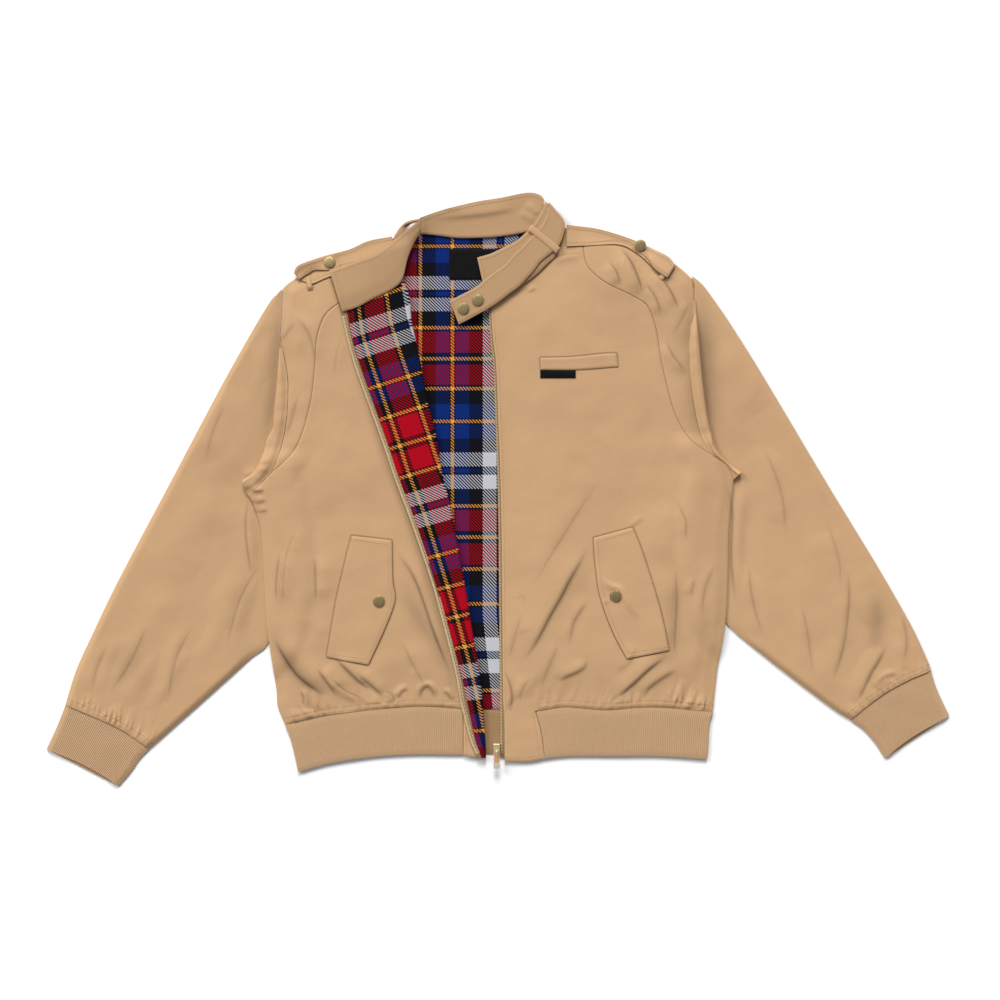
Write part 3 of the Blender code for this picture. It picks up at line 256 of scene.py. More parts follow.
# %% Collar, strap, lapel and zip in millimetres
COLLAR_RIGHT_NECK = [(-204, 234), (-184, 240), (-162, 252), (-138, 264), (-125, 277), (-118, 304),
                     (-109, 326), (-101, 338)]
COLLAR_RIGHT_TOP = [(-221, 289), (-204, 294), (-182, 302), (-164, 308), (-151, 317), (-129, 335),
                    (-115, 345), (-100, 356)]
COLLAR_BACK_NECK = [(-103, 338), (-76, 335), (-50, 332), (-10, 333), (17, 336), (52, 342)]
COLLAR_BACK_TOP = [(-102, 358), (-76, 367), (-50, 374), (-23, 380), (3, 384), (39, 391), (56, 388),
                   (62, 381)]
COLLAR_LEFT_NECK = [(-12, 239), (-3, 243), (22, 262), (48, 281), (67, 299), (77, 309), (84, 330),
                    (89, 350)]
COLLAR_LEFT_TOP = [(-27, 306), (-10, 311), (3, 317), (23, 327), (35, 337), (44, 346), (56, 364),
                   (63, 380)]
STRAP_UPPER = [(-63, 249), (-50, 256), (-36, 263), (-26, 269), (-18, 276), (-3, 288), (10, 297),
               (20, 309), (30, 318), (44, 333), (52, 341), (60, 352), (65, 364), (67, 374), (66, 378)]
STRAP_LOWER = [(-51, 218), (-39, 224), (-26, 231), (-12, 239), (3, 249), (16, 259), (27, 267),
               (36, 276), (47, 288), (56, 300), (68, 310), (78, 318), (85, 330), (89, 348), (85, 359),
               (78, 367), (72, 374), (68, 378)]
STRAP_BACK_OUTER = [(-138, 330), (-136, 335), (-133, 340), (-129, 346), (-123, 352), (-115, 356),
                    (-105, 358), (-90, 362), (-40, 368), (0, 374), (40, 378), (62, 377)]
STRAP_BACK_INNER = [(-126, 332), (-124, 338), (-123, 344), (-122, 349), (-115, 352), (-107, 354),
                    (-90, 356), (-40, 357), (0, 360), (40, 364), (64, 368)]
STRAP_KEEPER = [(42, 346), (80, 315)]
STRAP_SNAPS = {"strap_outer_snap": (-45, 239), "strap_inner_snap": (-26, 250)}
ZIP_EDGE = [(-206, 233), (-198, 198), (-191, 172), (-182, 145), (-153, 66), (-135, 13), (-115, -40),
            (-88, -119), (-75, -165), (-56, -240), (-48, -284), (-36, -330), (-26, -353)]
TARTAN_EDGE = [(-198, 236), (-191, 198), (-182.5, 170), (-174, 145), (-146, 66), (-128.5, 13),
               (-108.5, -40), (-83, -119), (-69, -165), (-50, -235), (-39, -284), (-29, -330), (-21, -353)]
LAPEL_FOLD = [(-124, 277), (-115, 251), (-113, 224), (-105, 185), (-97, 145), (-92, 116), (-81, 73),
              (-71, 13), (-63, -13), (-56, -53), (-46, -106), (-31, -198), (-24, -238), (-19, -284),
              (-16, -330), (-15, -353)]
LEFT_ZIP_EDGE = [(-12, 241), (-10, 198), (-6, 165), (-3, 92), (-1, 40), (1, -40), (2, -145), (3, -264),
                 (3.7, -352)]
BACK_LINING_NECK = [(-116, 336), (-101, 340), (-50, 336), (-10, 336), (30, 341), (84, 348)]
BACK_LINING_RIGHT = [(-116, 336), (-142, 250), (-122, 100), (-90, -80), (-58, -289)]
BACK_LINING_LEFT = [(84, 348), (70, 250), (45, 100), (45, -80), (45, -289)]
BACK_NECK = [(-131, 334), (-101, 337), (-50, 333), (-10, 333), (30, 338), (84, 346), (113, 344)]
WELT_SEWN = [(57, 158), (105, 158), (159, 162)]
WELT_FREE = [(56, 174), (97, 175), (136, 179), (157, 180)]
CHEST_LABEL = ((56, 158), (103, 147))
NECK_LABEL = ((-64, 318), (-2, 277))
print("length of the zip in mm:", round(length_of(curve(ZIP_EDGE, 120))))

# %% [markdown]
# ## How thick, and how high
# A picture from above doesn't say how high a layer lies, so heights are stacked up: a cloth, a little air,
# the next cloth. They are the solids' own numbers, a little above those of new cloth, because a worn garment
# never lies quite flat.

# %% Thicknesses and heights in millimetres
# The cloths, and the air between two layers.
CLOTH, LINING, RIB, COLLAR, STRAP, TAPE, LABEL = 1.4, 1.0, 2.3, 2.4, 1.6, 1.0, 0.6
SEAM_GAP, LAY_GAP, TUCK_GAP, EPAULETTE_GAP, FLAP_GAP = 0.3, 0.4, 0.6, 0.8, 0.6
# The plain upper faces, and how much fuller they are in the middle.
BACK_TOP, LINING_TOP, SIDE_TOP, SEAT_TOP, HEM_TOP = 1.2, 2.4, 3.0, 5.8, 5.6
FRONT_PUFF, SLEEVE_PUFF, CUFF_TOP, CUFF_WALL = 4.2, 3.0, 4.4, 1.8
# The sleeve where it is tucked under the body, and how the body rises over it.
TUCK_TOP, TUCK_BED, BED_RAMP, BED_FADE, BED_LEAD, BED_SLACK = 3.3, 4.3, 32, 30, 1.5, 0.8
# How far from its edges a face takes to rise, and where the hem's seam runs.
EDGE_RAMP, SEAT_RAMP, PUFF_RAMPS, SLEEVE_RAMP = 18, 60, (60, 70, 70), (16, 40)
HEM_LINE, RIB_FLOOR, BACK_INSET = -286, 2.3, 4
# The round edge of a flattened tube, and the sleeve's head.
EDGE_MIDDLE, EDGE_ROUND, EDGE_TURN = 2.2, 10, 1.4
HEAD_RISE, HEAD_TUCK, HEAD_RAMP = {"right": 3.2, "left": 4.6}, 7, 9
# The lapel and the zip's tapes.
TURNBACK, SHELL_RISE, LINING_RISE, LEFT_TAPE_TOP = 1.2, 1.9, 3.4, 3.8
LAPEL_INSET, TURNBACK_INSET, LAPEL_TUCK, TAPE_OVERHANG, LEFT_TAPE_WIDTH = 2.6, 6, 8, 4, 14
# The collar, the strap, the keepers and the snaps.
COLLAR_LIFT, COLLAR_STAND, COLLAR_LEFT_HEIGHT = 1.3, 7.5, 10.0
STRAP_TOP, STRAP_DROP, STRAP_DROPPED, STRAP_RISE, STRAP_FOOT = 12.3, 3.5, 0.2, 3.4, (-115, 9)
KEEPER_WIDTH, EPAULETTE_KEEPER_WIDTH, EPAULETTE_RAMP, YOKE_LEAN = 9, 7, 18, 1.6
SNAP_RADIUS = 7.5
# The spacing of a wall's points, closer at its rim, and how far the rim is rolled over.
GRID = 1.9
RIM_STEPS = (0, 0.5, 1.2, 2.2, 3.6)
ROLL_DROP, ROLL_REACH = 0.7, 1.3

# %% [markdown]
# ## Folds, gathers and creases
# Cloth that lies still keeps a memory of how it was worn and sewn: long soft folds, sharp creases that
# start at a pocket or an armhole, and small gathers where a wide panel is eased into a short rib. A cloth
# simulation gives folds, but not these folds. A table of fold lines puts each one where it is on the
# real jacket, and lets one flank be steeper than the other, which is what makes a fold look pressed.


# %% Places in the photograph
# One pixel in millimetres, and the pixel over the middle of the plan.
PIXEL = 1.32
MIDDLE_PIXEL = (497.5, 490)


def plan_point(x, y):
    """A place that was read off the photograph, in millimetres of the plan."""
    return np.array([(x - MIDDLE_PIXEL[0]) * PIXEL, (MIDDLE_PIXEL[1] - y) * PIXEL])


# %% Long soft folds
# Columns: start x, start y, end x, end y in the photograph, sideways bend, half width to the left of the
# line, half width to its right (all in its pixels), height in millimetres.
FOLDS = [
    # left front
    (700, 590, 690, 690, 3, 6, 10, 1.2),
    (545, 668, 520, 700, -3, 5, 8, 1.2),
    (640, 470, 560, 500, -8, 20, 26, 1.2),
    (690, 470, 640, 560, 8, 20, 26, 1.2),
    (560, 300, 600, 380, 6, 18, 22, 0.9),
    (610, 420, 560, 470, 4, 24, 24, 0.8),
    # left shoulder panel
    (640, 262, 676, 320, -4, 6, 12, 1.6),
    (664, 288, 684, 352, 4, 8, 12, 1.4),
    (676, 300, 690, 330, 3, 5, 8, 0.9),
    # right front
    (412, 664, 425, 694, 3, 5, 8, 1.7),
    (440, 620, 452, 700, 2, 7, 9, 1.6),
    (292, 470, 330, 520, 8, 20, 16, 1.4),
    (300, 420, 285, 500, -4, 14, 12, 1.2),
    (380, 440, 350, 500, 4, 24, 20, 1.0),
    (340, 340, 352, 420, -4, 12, 16, 0.8),
    (300, 616, 330, 636, 2, 8, 6, 0.8),
    # right shoulder panel
    (292, 306, 300, 360, 3, 8, 10, 1.1),
    (296, 380, 280, 440, -4, 8, 10, 1.3),
    (306, 360, 300, 420, 2, 9, 9, 0.8),
    # right sleeve
    (252, 500, 262, 560, -3, 8, 10, 2.0),
    (240, 372, 190, 470, 6, 16, 22, 1.8),
    (230, 470, 160, 590, -8, 22, 18, 2.0),
    (256, 520, 214, 620, 8, 14, 16, 1.8),
    (180, 570, 110, 672, 8, 20, 16, 1.6),
    (232, 596, 190, 668, 5, 10, 12, 1.5),
    (160, 640, 120, 706, 4, 9, 8, 1.6),
    (196, 640, 150, 716, -3, 7, 8, 1.4),
    (120, 630, 92, 700, 2, 8, 8, 1.4),
    (268, 330, 252, 400, 2, 8, 10, 1.4),
    # left sleeve
    (724, 330, 760, 420, -6, 16, 20, 1.6),
    (745, 480, 738, 560, -4, 9, 12, 2.0),
    (756, 430, 810, 540, -6, 20, 20, 1.6),
    (736, 560, 752, 620, 3, 8, 10, 1.4),
    (800, 520, 850, 620, 6, 22, 22, 1.6),
    (850, 560, 882, 640, -5, 14, 10, 1.8),
    (896, 640, 904, 676, 2, 6, 6, 1.4),
    (800, 640, 850, 700, -4, 10, 10, 1.2),
    (830, 600, 850, 660, 4, 14, 12, 1.2),
]


# %% Sharper creases
# From their upper to their lower end. Columns: half width on the picture's right, half width on its left
# (in its pixels), height in millimetres, and the places that the valley of the crease runs through.
CREASES = [
    # left front
    (4, 22, 3.3, (590, 543), (580, 562), (569, 581), (561, 597), (550, 616), (540, 635), (531, 650),
     (520, 665)),
    (4, 13, 1.7, (590, 598), (581, 610), (573, 624), (569, 647)),
    (3, 13, 3.0, (668, 655), (650, 668), (635, 682), (620, 695), (608, 701)),
    (3.5, 9, 2.2, (679, 668), (662, 678), (648, 689), (644, 700)),
    (3, 9, 2.0, (588, 657), (584, 667), (577, 672), (564, 678), (559, 684)),
    (6, 15, 1.8, (675, 560), (676, 604), (674, 645), (678, 662)),
    (5, 14, 1.5, (676, 500), (685, 522), (684, 543)),
    (2.5, 6, 1.0, (694, 577), (690, 597)),
    (2.5, 6, 2.4, (503, 668), (510, 684), (512, 699), (509, 714)),
    (2.5, 5, 2.2, (508, 700), (512, 716), (511, 730), (514, 746)),
    (2, 3, 0.8, (516, 590), (528, 601)),
    (2, 4, 0.7, (532, 628), (512, 636)),
    (2.5, 4, 0.8, (646, 518), (637, 523), (628, 530)),
    (2.5, 4, 2.4, (600, 573), (610, 582), (621, 587), (627, 596), (633, 607), (642, 618)),
    (2, 3, 0.9, (610, 602), (602, 604)),
    (5, 12, 1.2, (560, 640), (548, 668), (540, 690)),
    (3, 6, 1.2, (530, 676), (522, 690), (519, 703)),
    (3, 6, 1.0, (716, 560), (704, 590), (700, 625)),
    (4, 9, 1.0, (640, 640), (630, 662), (612, 676)),
    (6, 12, 1.2, (522, 610), (514, 640), (508, 662)),
    (10, 20, 1.3, (600, 478), (560, 540), (530, 590)),
    (2, 4, 0.8, (537, 288), (528, 294)),
    (3, 5, 1.6, (548, 261), (565, 255), (578, 254), (585, 257)),
    # the collar
    (8, 3, 1.7, (432, 221), (470, 218), (500, 214), (524, 208)),
    (3, 5, 1.6, (527, 201), (535, 208), (541, 216)),
    (3, 4, 1.3, (519, 210), (530, 215), (538, 222)),
    (6, 3, 1.2, (430, 205), (450, 212), (470, 211)),
    # left shoulder panel
    (3, 10, 4.2, (618, 246), (628, 258), (636, 274), (644, 298)),
    (2.5, 7, 2.6, (608, 261), (616, 272), (620, 287)),
    (3, 8, 2.8, (652, 268), (668, 288), (680, 312)),
    (3, 7, 2.2, (642, 282), (654, 296), (662, 318)),
    (2.5, 6, 2.0, (664, 340), (674, 358), (688, 375)),
    (5, 9, 1.2, (690, 300), (682, 318), (670, 338)),
    # right front
    (15, 5, 4.0, (273, 635), (284, 655), (300, 677), (329, 698)),
    (10, 3.5, 3.2, (317, 667), (326, 680), (338, 696)),
    (9, 3.5, 3.0, (334, 656), (357, 679), (373, 691)),
    (8, 3.5, 2.6, (355, 671), (370, 684), (386, 698)),
    (12, 7, 2.2, (315, 553), (316, 580), (316, 604)),
    (10, 7, 2.2, (281, 549), (277, 580), (277, 604)),
    (12, 5, 3.2, (392, 545), (415, 579), (434, 632), (453, 680)),
    (9, 4, 1.4, (402, 640), (412, 662), (428, 690)),
    (3, 5, 2.6, (330, 676), (346, 690), (362, 698), (368, 704)),
    (4, 3, 2.2, (300, 688), (304, 698), (302, 708)),
    (3, 4, 2.0, (384, 690), (392, 694), (396, 702)),
    (3, 3, 2.0, (398, 700), (402, 692), (410, 688)),
    (3, 3, 2.2, (442, 690), (448, 694), (452, 702)),
    (3, 3, 2.4, (420, 701), (422, 690), (428, 686), (433, 692), (434, 701)),
    (8, 4, 1.3, (300, 520), (286, 560), (283, 610)),
    (3, 3, 1.8, (250, 490), (258, 492), (266, 491)),
    (3, 3, 1.8, (249, 500), (258, 503), (268, 500)),
    (3, 3, 1.5, (252, 510), (262, 512), (270, 509)),
    # right shoulder panel
    (9, 4, 1.5, (294, 318), (304, 326), (312, 342), (316, 366)),
    (3, 5, 0.9, (296, 322), (288, 333), (281, 342)),
    (6, 8, 1.3, (300, 390), (292, 420), (284, 442)),
    (6, 4, 1.0, (345, 330), (338, 350), (334, 380)),
    (5, 9, 1.0, (300, 440), (285, 458), (272, 470)),
    # right sleeve
    (3, 3, 1.4, (272, 459), (266, 458), (258, 461)),
    (3, 3, 1.5, (270, 468), (262, 466), (254, 471)),
    (3, 4, 1.3, (260, 476), (252, 476), (246, 480)),
    (10, 5, 2.0, (249, 492), (246, 530), (252, 580)),
    (8, 5, 1.7, (262, 560), (240, 600), (226, 650)),
    (5, 10, 1.5, (196, 620), (176, 660), (168, 706)),
    (5, 10, 1.4, (150, 620), (132, 660), (110, 694)),
    (4, 8, 1.2, (110, 640), (98, 668), (92, 696)),
    (4, 9, 1.2, (228, 400), (214, 430), (206, 462)),
    # left sleeve
    (8, 4, 2.4, (724, 480), (732, 510), (731, 560), (736, 610)),
    (4, 9, 1.6, (748, 560), (752, 600), (764, 640)),
    (4, 12, 2.4, (888, 642), (879, 659), (870, 674), (862, 691), (853, 705)),
    (3, 3, 1.4, (871, 692), (879, 681), (890, 675), (902, 676)),
    (4, 12, 1.8, (846, 560), (848, 600), (842, 650), (828, 690)),
    (4, 10, 1.4, (900, 610), (906, 640), (902, 664)),
    (4, 10, 1.3, (800, 600), (808, 640), (812, 676)),
    (5, 14, 1.3, (760, 440), (780, 490), (786, 540)),
    (4, 10, 1.2, (826, 520), (838, 560), (840, 590)),
]


# %% [markdown]
# ## From a line to a fold
# A fold's section is a soft ridge that dies out towards its ends. Where two meet, the higher one wins and
# keeps a part of the other. What the eye follows in a sharp crease is its dark valley, so the ridge is set
# off from the line by most of its steep flank.

# %% The ridge of each fold
VALLEY = 0.9
FOLD_END, FOLD_SIGHT, FOLD_MEET = 0.35, 2.6, 0.35


def fold_lines():
    """Each fold and crease as its line and the half widths of its two flanks, in millimetres."""
    lines = []
    for right_width, left_width, height, *places in CREASES:
        line = curve([plan_point(x, y) for x, y in places], 4 * len(places))
        run = np.gradient(line, axis=0)
        run /= np.linalg.norm(run, axis=1)[:, None]
        off = VALLEY * PIXEL * min(right_width, left_width) * (-1 if right_width < left_width else 1)
        line = line + off * np.stack([-run[:, 1], run[:, 0]], axis=-1)
        lines.append((line, right_width * PIXEL, left_width * PIXEL, height))
    for x0, y0, x1, y1, bend, left, right, height in FOLDS:
        start, end = plan_point(x0, y0), plan_point(x1, y1)
        run = (end - start) / np.linalg.norm(end - start)
        t = even(8)[:, None]
        line = start + (end - start) * t + np.array([-run[1], run[0]]) * bend * PIXEL * 4 * t * (1 - t)
        lines.append((line, left * PIXEL, right * PIXEL, height))
    return lines


FOLD_LINES = fold_lines()


def beside(points, line, reach):
    """Which points lie within reach of a line's box."""
    return np.all((points > line.min(0)[:2] - reach) & (points < line.max(0)[:2] + reach), axis=-1)


def fold_rise(points):
    """How far the folds raise the cloth."""
    flat = points.reshape(-1, 2)
    rise = np.zeros(len(flat))
    for line, left, right, height in FOLD_LINES:
        close = beside(flat, line, FOLD_SIGHT * max(left, right))
        if not close.any():
            continue
        away, side, reach = nearest(flat[close], line)
        width = np.where(side > 0, left, right)
        ends = np.minimum(reach, length_of(line) - reach) / (FOLD_END * length_of(line))
        raise_by = height * np.exp(-(away / width) ** 2) * smooth(ends)
        rise[close] = np.maximum(rise[close], raise_by) + FOLD_MEET * np.minimum(rise[close], raise_by)
    return rise.reshape(points.shape[:-1])


# %% [markdown]
# ## Shade in the valleys
# Light from a wide window hardly reaches the bottom of a crease, or a hollow beside a raised edge. A relief
# of a few millimetres gives too little of that, so the shade is painted: each wall also carries, as
# attributes for its finish, how deep in a crease each point lies, and how much painted shade the hollows lay
# on it.

# %% Painted shade of creases and hollows, as attributes
SHADE_REACH, SHADE_EDGE, SHADE_END, DEEP_CREASE = 6, 2, 0.3, 3
HOLLOW_LEAD, HOLLOW_END = 4, 0.35
# Bands of painted shade. Each: width in the photograph's pixels, depth, then its line. The fifth runs beside
# the zip's edge.
PAINTED_HOLLOWS = [(15, 0.8, (693, 291), (696, 310), (699, 340), (701.6, 378), (704, 420), (709, 462)),
           (7, 0.55, (280, 306), (278, 335), (275, 378), (270, 420), (261, 458)),
           (8, 0.4, (402, 580), (414.5, 610), (433, 639), (447, 668), (455, 695)),
           (8, 0.45, (270, 622), (284, 650), (297, 669), (314, 687), (330, 699)),
           (4, 0.5, *[(x / PIXEL + 496, 490 - y / PIXEL) for x, y in ZIP_EDGE[1:-1]]),
           (10, 0.16, (600, 545), (575, 585), (556, 620), (536, 655), (522, 690)),
           (8, 0.4, (873, 590), (877, 620), (875, 640), (882, 656)),
           (14, 0.2, (104, 644), (122, 660), (142, 672), (158, 682)),
           (9, 0.25, (672, 560), (672, 600), (668, 640), (655, 668), (630, 690))]


def shade_of(points):
    """How far each point is from the valley of the nearest crease and how deep that crease is, for its
    painted shade, and how much painted shade the hollows lay on the point."""
    away, depth, hollow = (np.zeros(len(points)) for _ in range(3))
    for line, left, right, height in FOLD_LINES[:len(CREASES)]:
        close = beside(points, line, SHADE_REACH + max(left, right))
        if close.any():
            far, side, reach = nearest(points[close], line)
            off = side * (1 if left < right else -1) * far - VALLEY * min(left, right)
            ends = np.minimum(reach, length_of(line) - reach) / (SHADE_END * length_of(line))
            deep = smooth(ends) * smooth((SHADE_REACH - np.abs(off)) / SHADE_EDGE)
            deep = deep * min(height / DEEP_CREASE, 1)
            deeper = deep > depth[close]
            away[close] = np.where(deeper, off, away[close])
            depth[close] = np.maximum(deep, depth[close])
    for width, deep, *places in PAINTED_HOLLOWS:
        line = curve([plan_point(x, y) for x, y in places], 40)
        far, _, reach = nearest(points, line)
        ends = np.minimum(reach + HOLLOW_LEAD, length_of(line) - reach) / (HOLLOW_END * length_of(line))
        hollow = np.maximum(hollow, deep * np.exp(-(far / (width * PIXEL)) ** 2) * smooth(ends))
    return {"crease_mm": away, "crease_depth": depth, "hollow": hollow}


print("folds:", len(FOLD_LINES), "hollows:", len(PAINTED_HOLLOWS))

# %% [markdown]
# ## Soft unevenness
# Between its folds the cloth swells by a few tenths of a millimetre. A Displace modifier would do that, but
# noise that is worked out here can be asked for at any point, so a flap or a snap finds the same swell under
# it, and it is the same on each run.


# %% Smooth noise
def ripple(points, size, seed):
    """Smooth noise between about -1 and 1, with bumps of a given size in millimetres."""
    flat = np.asarray(points)[..., :2].reshape(-1, 2) / size
    found = [noise.noise(Vector((x, y, seed))) for x, y in flat]
    return np.array(found).reshape(np.shape(points)[:-1])


def swells(points, *kinds):
    """Noises on top of each other. Each kind: height, size and seed."""
    return sum(height * ripple(points, size, seed) for height, size, seed in kinds)


print("noise at the middle:", round(float(ripple(np.array([0, 0]), 80, 1.3)), 3))

# %% [markdown]
# ## Gathers beside a rib
# A wide panel is eased into a short rib, so its spare cloth stands up in small gathers, and puckers under
# each stitch. There are hundreds, so they aren't modelled one by one: noise that is stretched across the seam
# gives each its own height and length.

# %% Gathers and puckers
GATHER_RISE, GATHER_PITCH, GATHER_REACH, GATHER_SIGHT = 4.2, 15, 24, 60
PUCKER_RISE, PUCKER_PITCH = 2.2, 6.5
SEAM_STITCH, GATHER_SEED = 9.0, 3.7


def gathers(points, seam, seed):
    """Small irregular gathers that run up from a seam and die out, and the puckers under its stitches."""
    flat = points.reshape(-1, 2)
    close = beside(flat, seam, GATHER_SIGHT)
    rise = np.zeros(len(flat))
    if close.any():
        rise[close] = gathered(flat[close], seam, seed)
    return rise.reshape(points.shape[:-1])


def gathered(points, seam, seed):
    """The gathers and puckers at points near the seam."""
    away, _, reach = nearest(points, seam)
    along = np.stack([reach / GATHER_PITCH + away / 60, away / 90], axis=-1)
    wave = 1 - np.abs(ripple(along, 0.52, seed)) * 3.2
    fine = 1 - np.abs(ripple(along, 0.23, seed + 5)) * 3.2
    strength = 0.55 + 0.9 * ripple(np.stack([reach, reach * 0], axis=-1), 46, seed + 9)
    length = GATHER_REACH * (1 + 0.8 * ripple(np.stack([reach, reach * 0], axis=-1), 21, seed + 3))
    rise = np.clip(wave, 0, 1) + 0.45 * np.clip(fine, 0, 1) * np.exp(-away / 9)
    pucker = ripple(np.stack([reach / PUCKER_PITCH, away / 30], axis=-1), 1.0, seed + 12)
    under = np.exp(-((away - SEAM_STITCH / 2) / (SEAM_STITCH / 2)) ** 4)
    lift = GATHER_RISE * np.clip(strength, 0.2, 1.3) * rise
    lift = lift * np.exp(-(away / length) ** 2) * (1 - 0.6 * under)
    return (lift + PUCKER_RISE * np.abs(pucker) * under) * smooth((away - 0.8) / 3)


# %% [markdown]
# ## One side of the jacket
# The heights of the two sides are made by the same rules: the cloth is low at the side seam, seated on
# the layers below, a little fuller in the middle, and lifted where a sleeve is tucked under it. Keeping
# these rules in one place means that a flap or a label can ask how high the front is under it.

# %% Heights of each side
SEAM_POINTS = 60
CALM_RAMP, BAND_LEAD = 14, 3
# Nothing is raised within a few millimetres of the opening's edge, and of the hem's seam.
OPENING_LEAD, HEM_CALM = 4, 3.5
FRONT_SWELLS = (1.7, 80, 1.3), (0.75, 34, 8.1), (0.16, 12, 5.5)
ZIP_LINE = curve(ZIP_EDGE, 120)


def covered_by(first, last, steps=30):
    return outline_of(curve(first, steps), curve(last, steps)[::-1])


class Side:
    """One side's seams as curves, and the heights of its cloth."""

    def __init__(self, name, edges):
        self.name, self.edges = name, edges
        self.outward = -1 if name == "right" else 1
        self.seams = {seam: curve(edges[seam], SEAM_POINTS)
                      for seam in ("shoulder", "armhole", "underarm", "side", "yoke")}
        self.outline = np.vstack([self.seams["shoulder"][::-1], self.seams["side"]])
        self.arm = np.vstack([self.seams["armhole"], self.seams["underarm"][1:]])
        self.body = np.vstack([self.arm, self.seams["side"][1:]])
        self.opening = curve(edges["opening"], 60)
        self.hem = curve(edges["hem"], 60)
        self.tuck = curve(edges["sleeve_inner"], 60)
        self.cuff = curve(edges["cuff_seam"], 30)
        self.covers = [covered_by(edges["flap_sewn"], edges["flap_free"], 20),
                       covered_by(edges["epaulette_low"], edges["epaulette_high"])]
        if name == "right":
            self.covers.append(covered_by(COLLAR_RIGHT_NECK, COLLAR_RIGHT_TOP))
        else:
            self.covers += [covered_by(WELT_SEWN, WELT_FREE, 20),
                            covered_by(COLLAR_LEFT_NECK, COLLAR_LEFT_TOP),
                            covered_by(STRAP_UPPER, STRAP_LOWER, 40)]

    def past_band(self, line):
        """How far each point of a hem line is past the woven end, towards the side seam."""
        return (line[:, 0] - self.edges["band_edge"][0][0]) * self.outward

    def bed(self, points):
        """How far the sleeve tucked under the body lifts it."""
        away, side, _ = nearest(points, self.tuck)
        reach = away * np.sign(side * self.outward)
        fade = smooth((self.edges["bed_from"] - points[..., 1]) / BED_FADE)
        return TUCK_BED * smooth(BED_LEAD + reach / BED_RAMP) * fade

    def top(self, points):
        """The plain upper face of the front's cloth."""
        edge, to_opening = distance(points, self.outline), distance(points, self.opening)
        to_hem = np.where(points[..., 1] > HEM_LINE, distance(points, self.hem), 0)
        seat = HEM_TOP + (SEAT_TOP - HEM_TOP) * smooth(to_hem / SEAT_RAMP)
        puff = FRONT_PUFF
        for reach, ramp in zip((edge, to_opening, to_hem), PUFF_RAMPS):
            puff = puff * smooth(reach / ramp)
        bed = self.bed(points)
        slack = BED_SLACK * np.sin(np.pi * bed / TUCK_BED)
        return SIDE_TOP + (seat - SIDE_TOP) * smooth(edge / EDGE_RAMP) + puff + bed + slack

    def relief(self, points):
        """The folds and gathers of the front, and none under the turned-back edge."""
        calm = np.minimum(distance(points, self.outline), distance(points, self.opening) + OPENING_LEAD)
        if self.name == "right":
            covered = np.interp(-points[..., 1], -ZIP_LINE[:, 1], ZIP_LINE[:, 0])
            calm = np.minimum(calm, covered - points[..., 0])
        gathered = np.where(points[..., 1] > HEM_LINE - 30, gathers(points, self.hem, GATHER_SEED), 0)
        past = self.past_band(self.hem)
        band, plain = self.hem[np.abs(past) < BAND_LEAD], self.hem[past < 0]
        calm = np.minimum(calm, distance(points, np.vstack([band, plain])))
        calm = np.minimum(calm, distance(points, self.hem) * CALM_RAMP / HEM_CALM)
        soft = swells(points, *FRONT_SWELLS) * np.exp(-gathered / 2)
        return (np.maximum(fold_rise(points), gathered) + soft) * smooth(calm / CALM_RAMP)

    def face(self, points):
        return self.top(points) + self.relief(points)

    def sleeve_top(self, points):
        """The plain upper face of the sleeve: low where it is tucked in, fuller outside."""
        start, ramp = SLEEVE_RAMP
        return TUCK_TOP + SLEEVE_PUFF * smooth((distance(points, self.body) - start) / ramp)


SIDES = [Side("right", RIGHT), Side("left", LEFT)]
right, left = SIDES
print("length of the side seams in mm:", [round(length_of(side.seams["side"])) for side in SIDES])

# %% [markdown]
# ## Walls of cloth
# A piece of cloth is a closed wall: an outer skin, an inner skin a millimetre or so below it, and a rim
# that joins them. A plane with a Solidify modifier looks the same from above, but a wall built from two
# grids of points can have its own inner skin, and its edge can be rolled over like a sewn edge. Each
# wall also gets a UV map in real millimetres, and the distance to the nearest edge of a piece that lies on
# it, which its finish uses for painted shade and a dip in its bump.

# %% Grids of points
COVER_FAR, COVER_REACH = 30.0, 6.0


def graded(length, step=GRID):
    """Shares of a length, close together near both ends and even between them."""
    rim = np.array(RIM_STEPS)
    if length < 4 * rim[-1]:
        return even(max(4, round(length / (step / 2))))
    inner = np.linspace(rim[-1], length - rim[-1], max(2, round((length - 2 * rim[-1]) / step) + 1))
    return np.concatenate([rim[:-1], inner, length - rim[-2::-1]]) / length


def patch(first, last, top, bottom, across, fade=1):
    """Plan points across a panel from its four edges, in rows from its top edge to its bottom edge."""
    down = even(len(first) - 1)[:, None, None]
    u = np.asarray(across)[None, :, None]
    straight = first[:, None] * (1 - u) + last[:, None] * u
    bend_top = top[None] - (first[0] * (1 - u) + last[0] * u)
    bend_bottom = bottom[None] - (first[-1] * (1 - u) + last[-1] * u)
    return straight + bend_top * (1 - down) ** fade + bend_bottom * down ** fade


def ruled(start, end, across):
    """Plan points on straight rows from one edge to the other."""
    u = np.asarray(across)[None, :, None]
    return start[:, None] * (1 - u) + end[:, None] * u


def reaches(grid):
    """Each point's lengths from the first row, the last row, the first column and the last column."""
    down = np.linalg.norm(np.diff(grid, axis=0, prepend=grid[:1]), axis=2).cumsum(axis=0)
    across = np.linalg.norm(np.diff(grid, axis=1, prepend=grid[:, :1]), axis=2).cumsum(axis=1)
    return down, down[-1:] - down, across, across[:, -1:] - across


def rolled(plan, sides=(1, 1, 1, 1)):
    """How far the wall's top sinks towards its edges, as where cloth is turned under."""
    drops = [on * np.exp(-(reach / ROLL_REACH) ** 2) for reach, on in zip(reaches(plan), sides)]
    return ROLL_DROP * np.maximum.reduce(drops)


# %% [markdown]
# ## Two skins and a rim
# A wall is one function from here on: it joins the grids, gives the unseen inner skin fewer faces, and writes
# the attributes and the UV map. A second one hands the piece over, with its body, its slot and its solid, so
# that no piece is forgotten.

# %% A wall from two grids
COARSE = 4


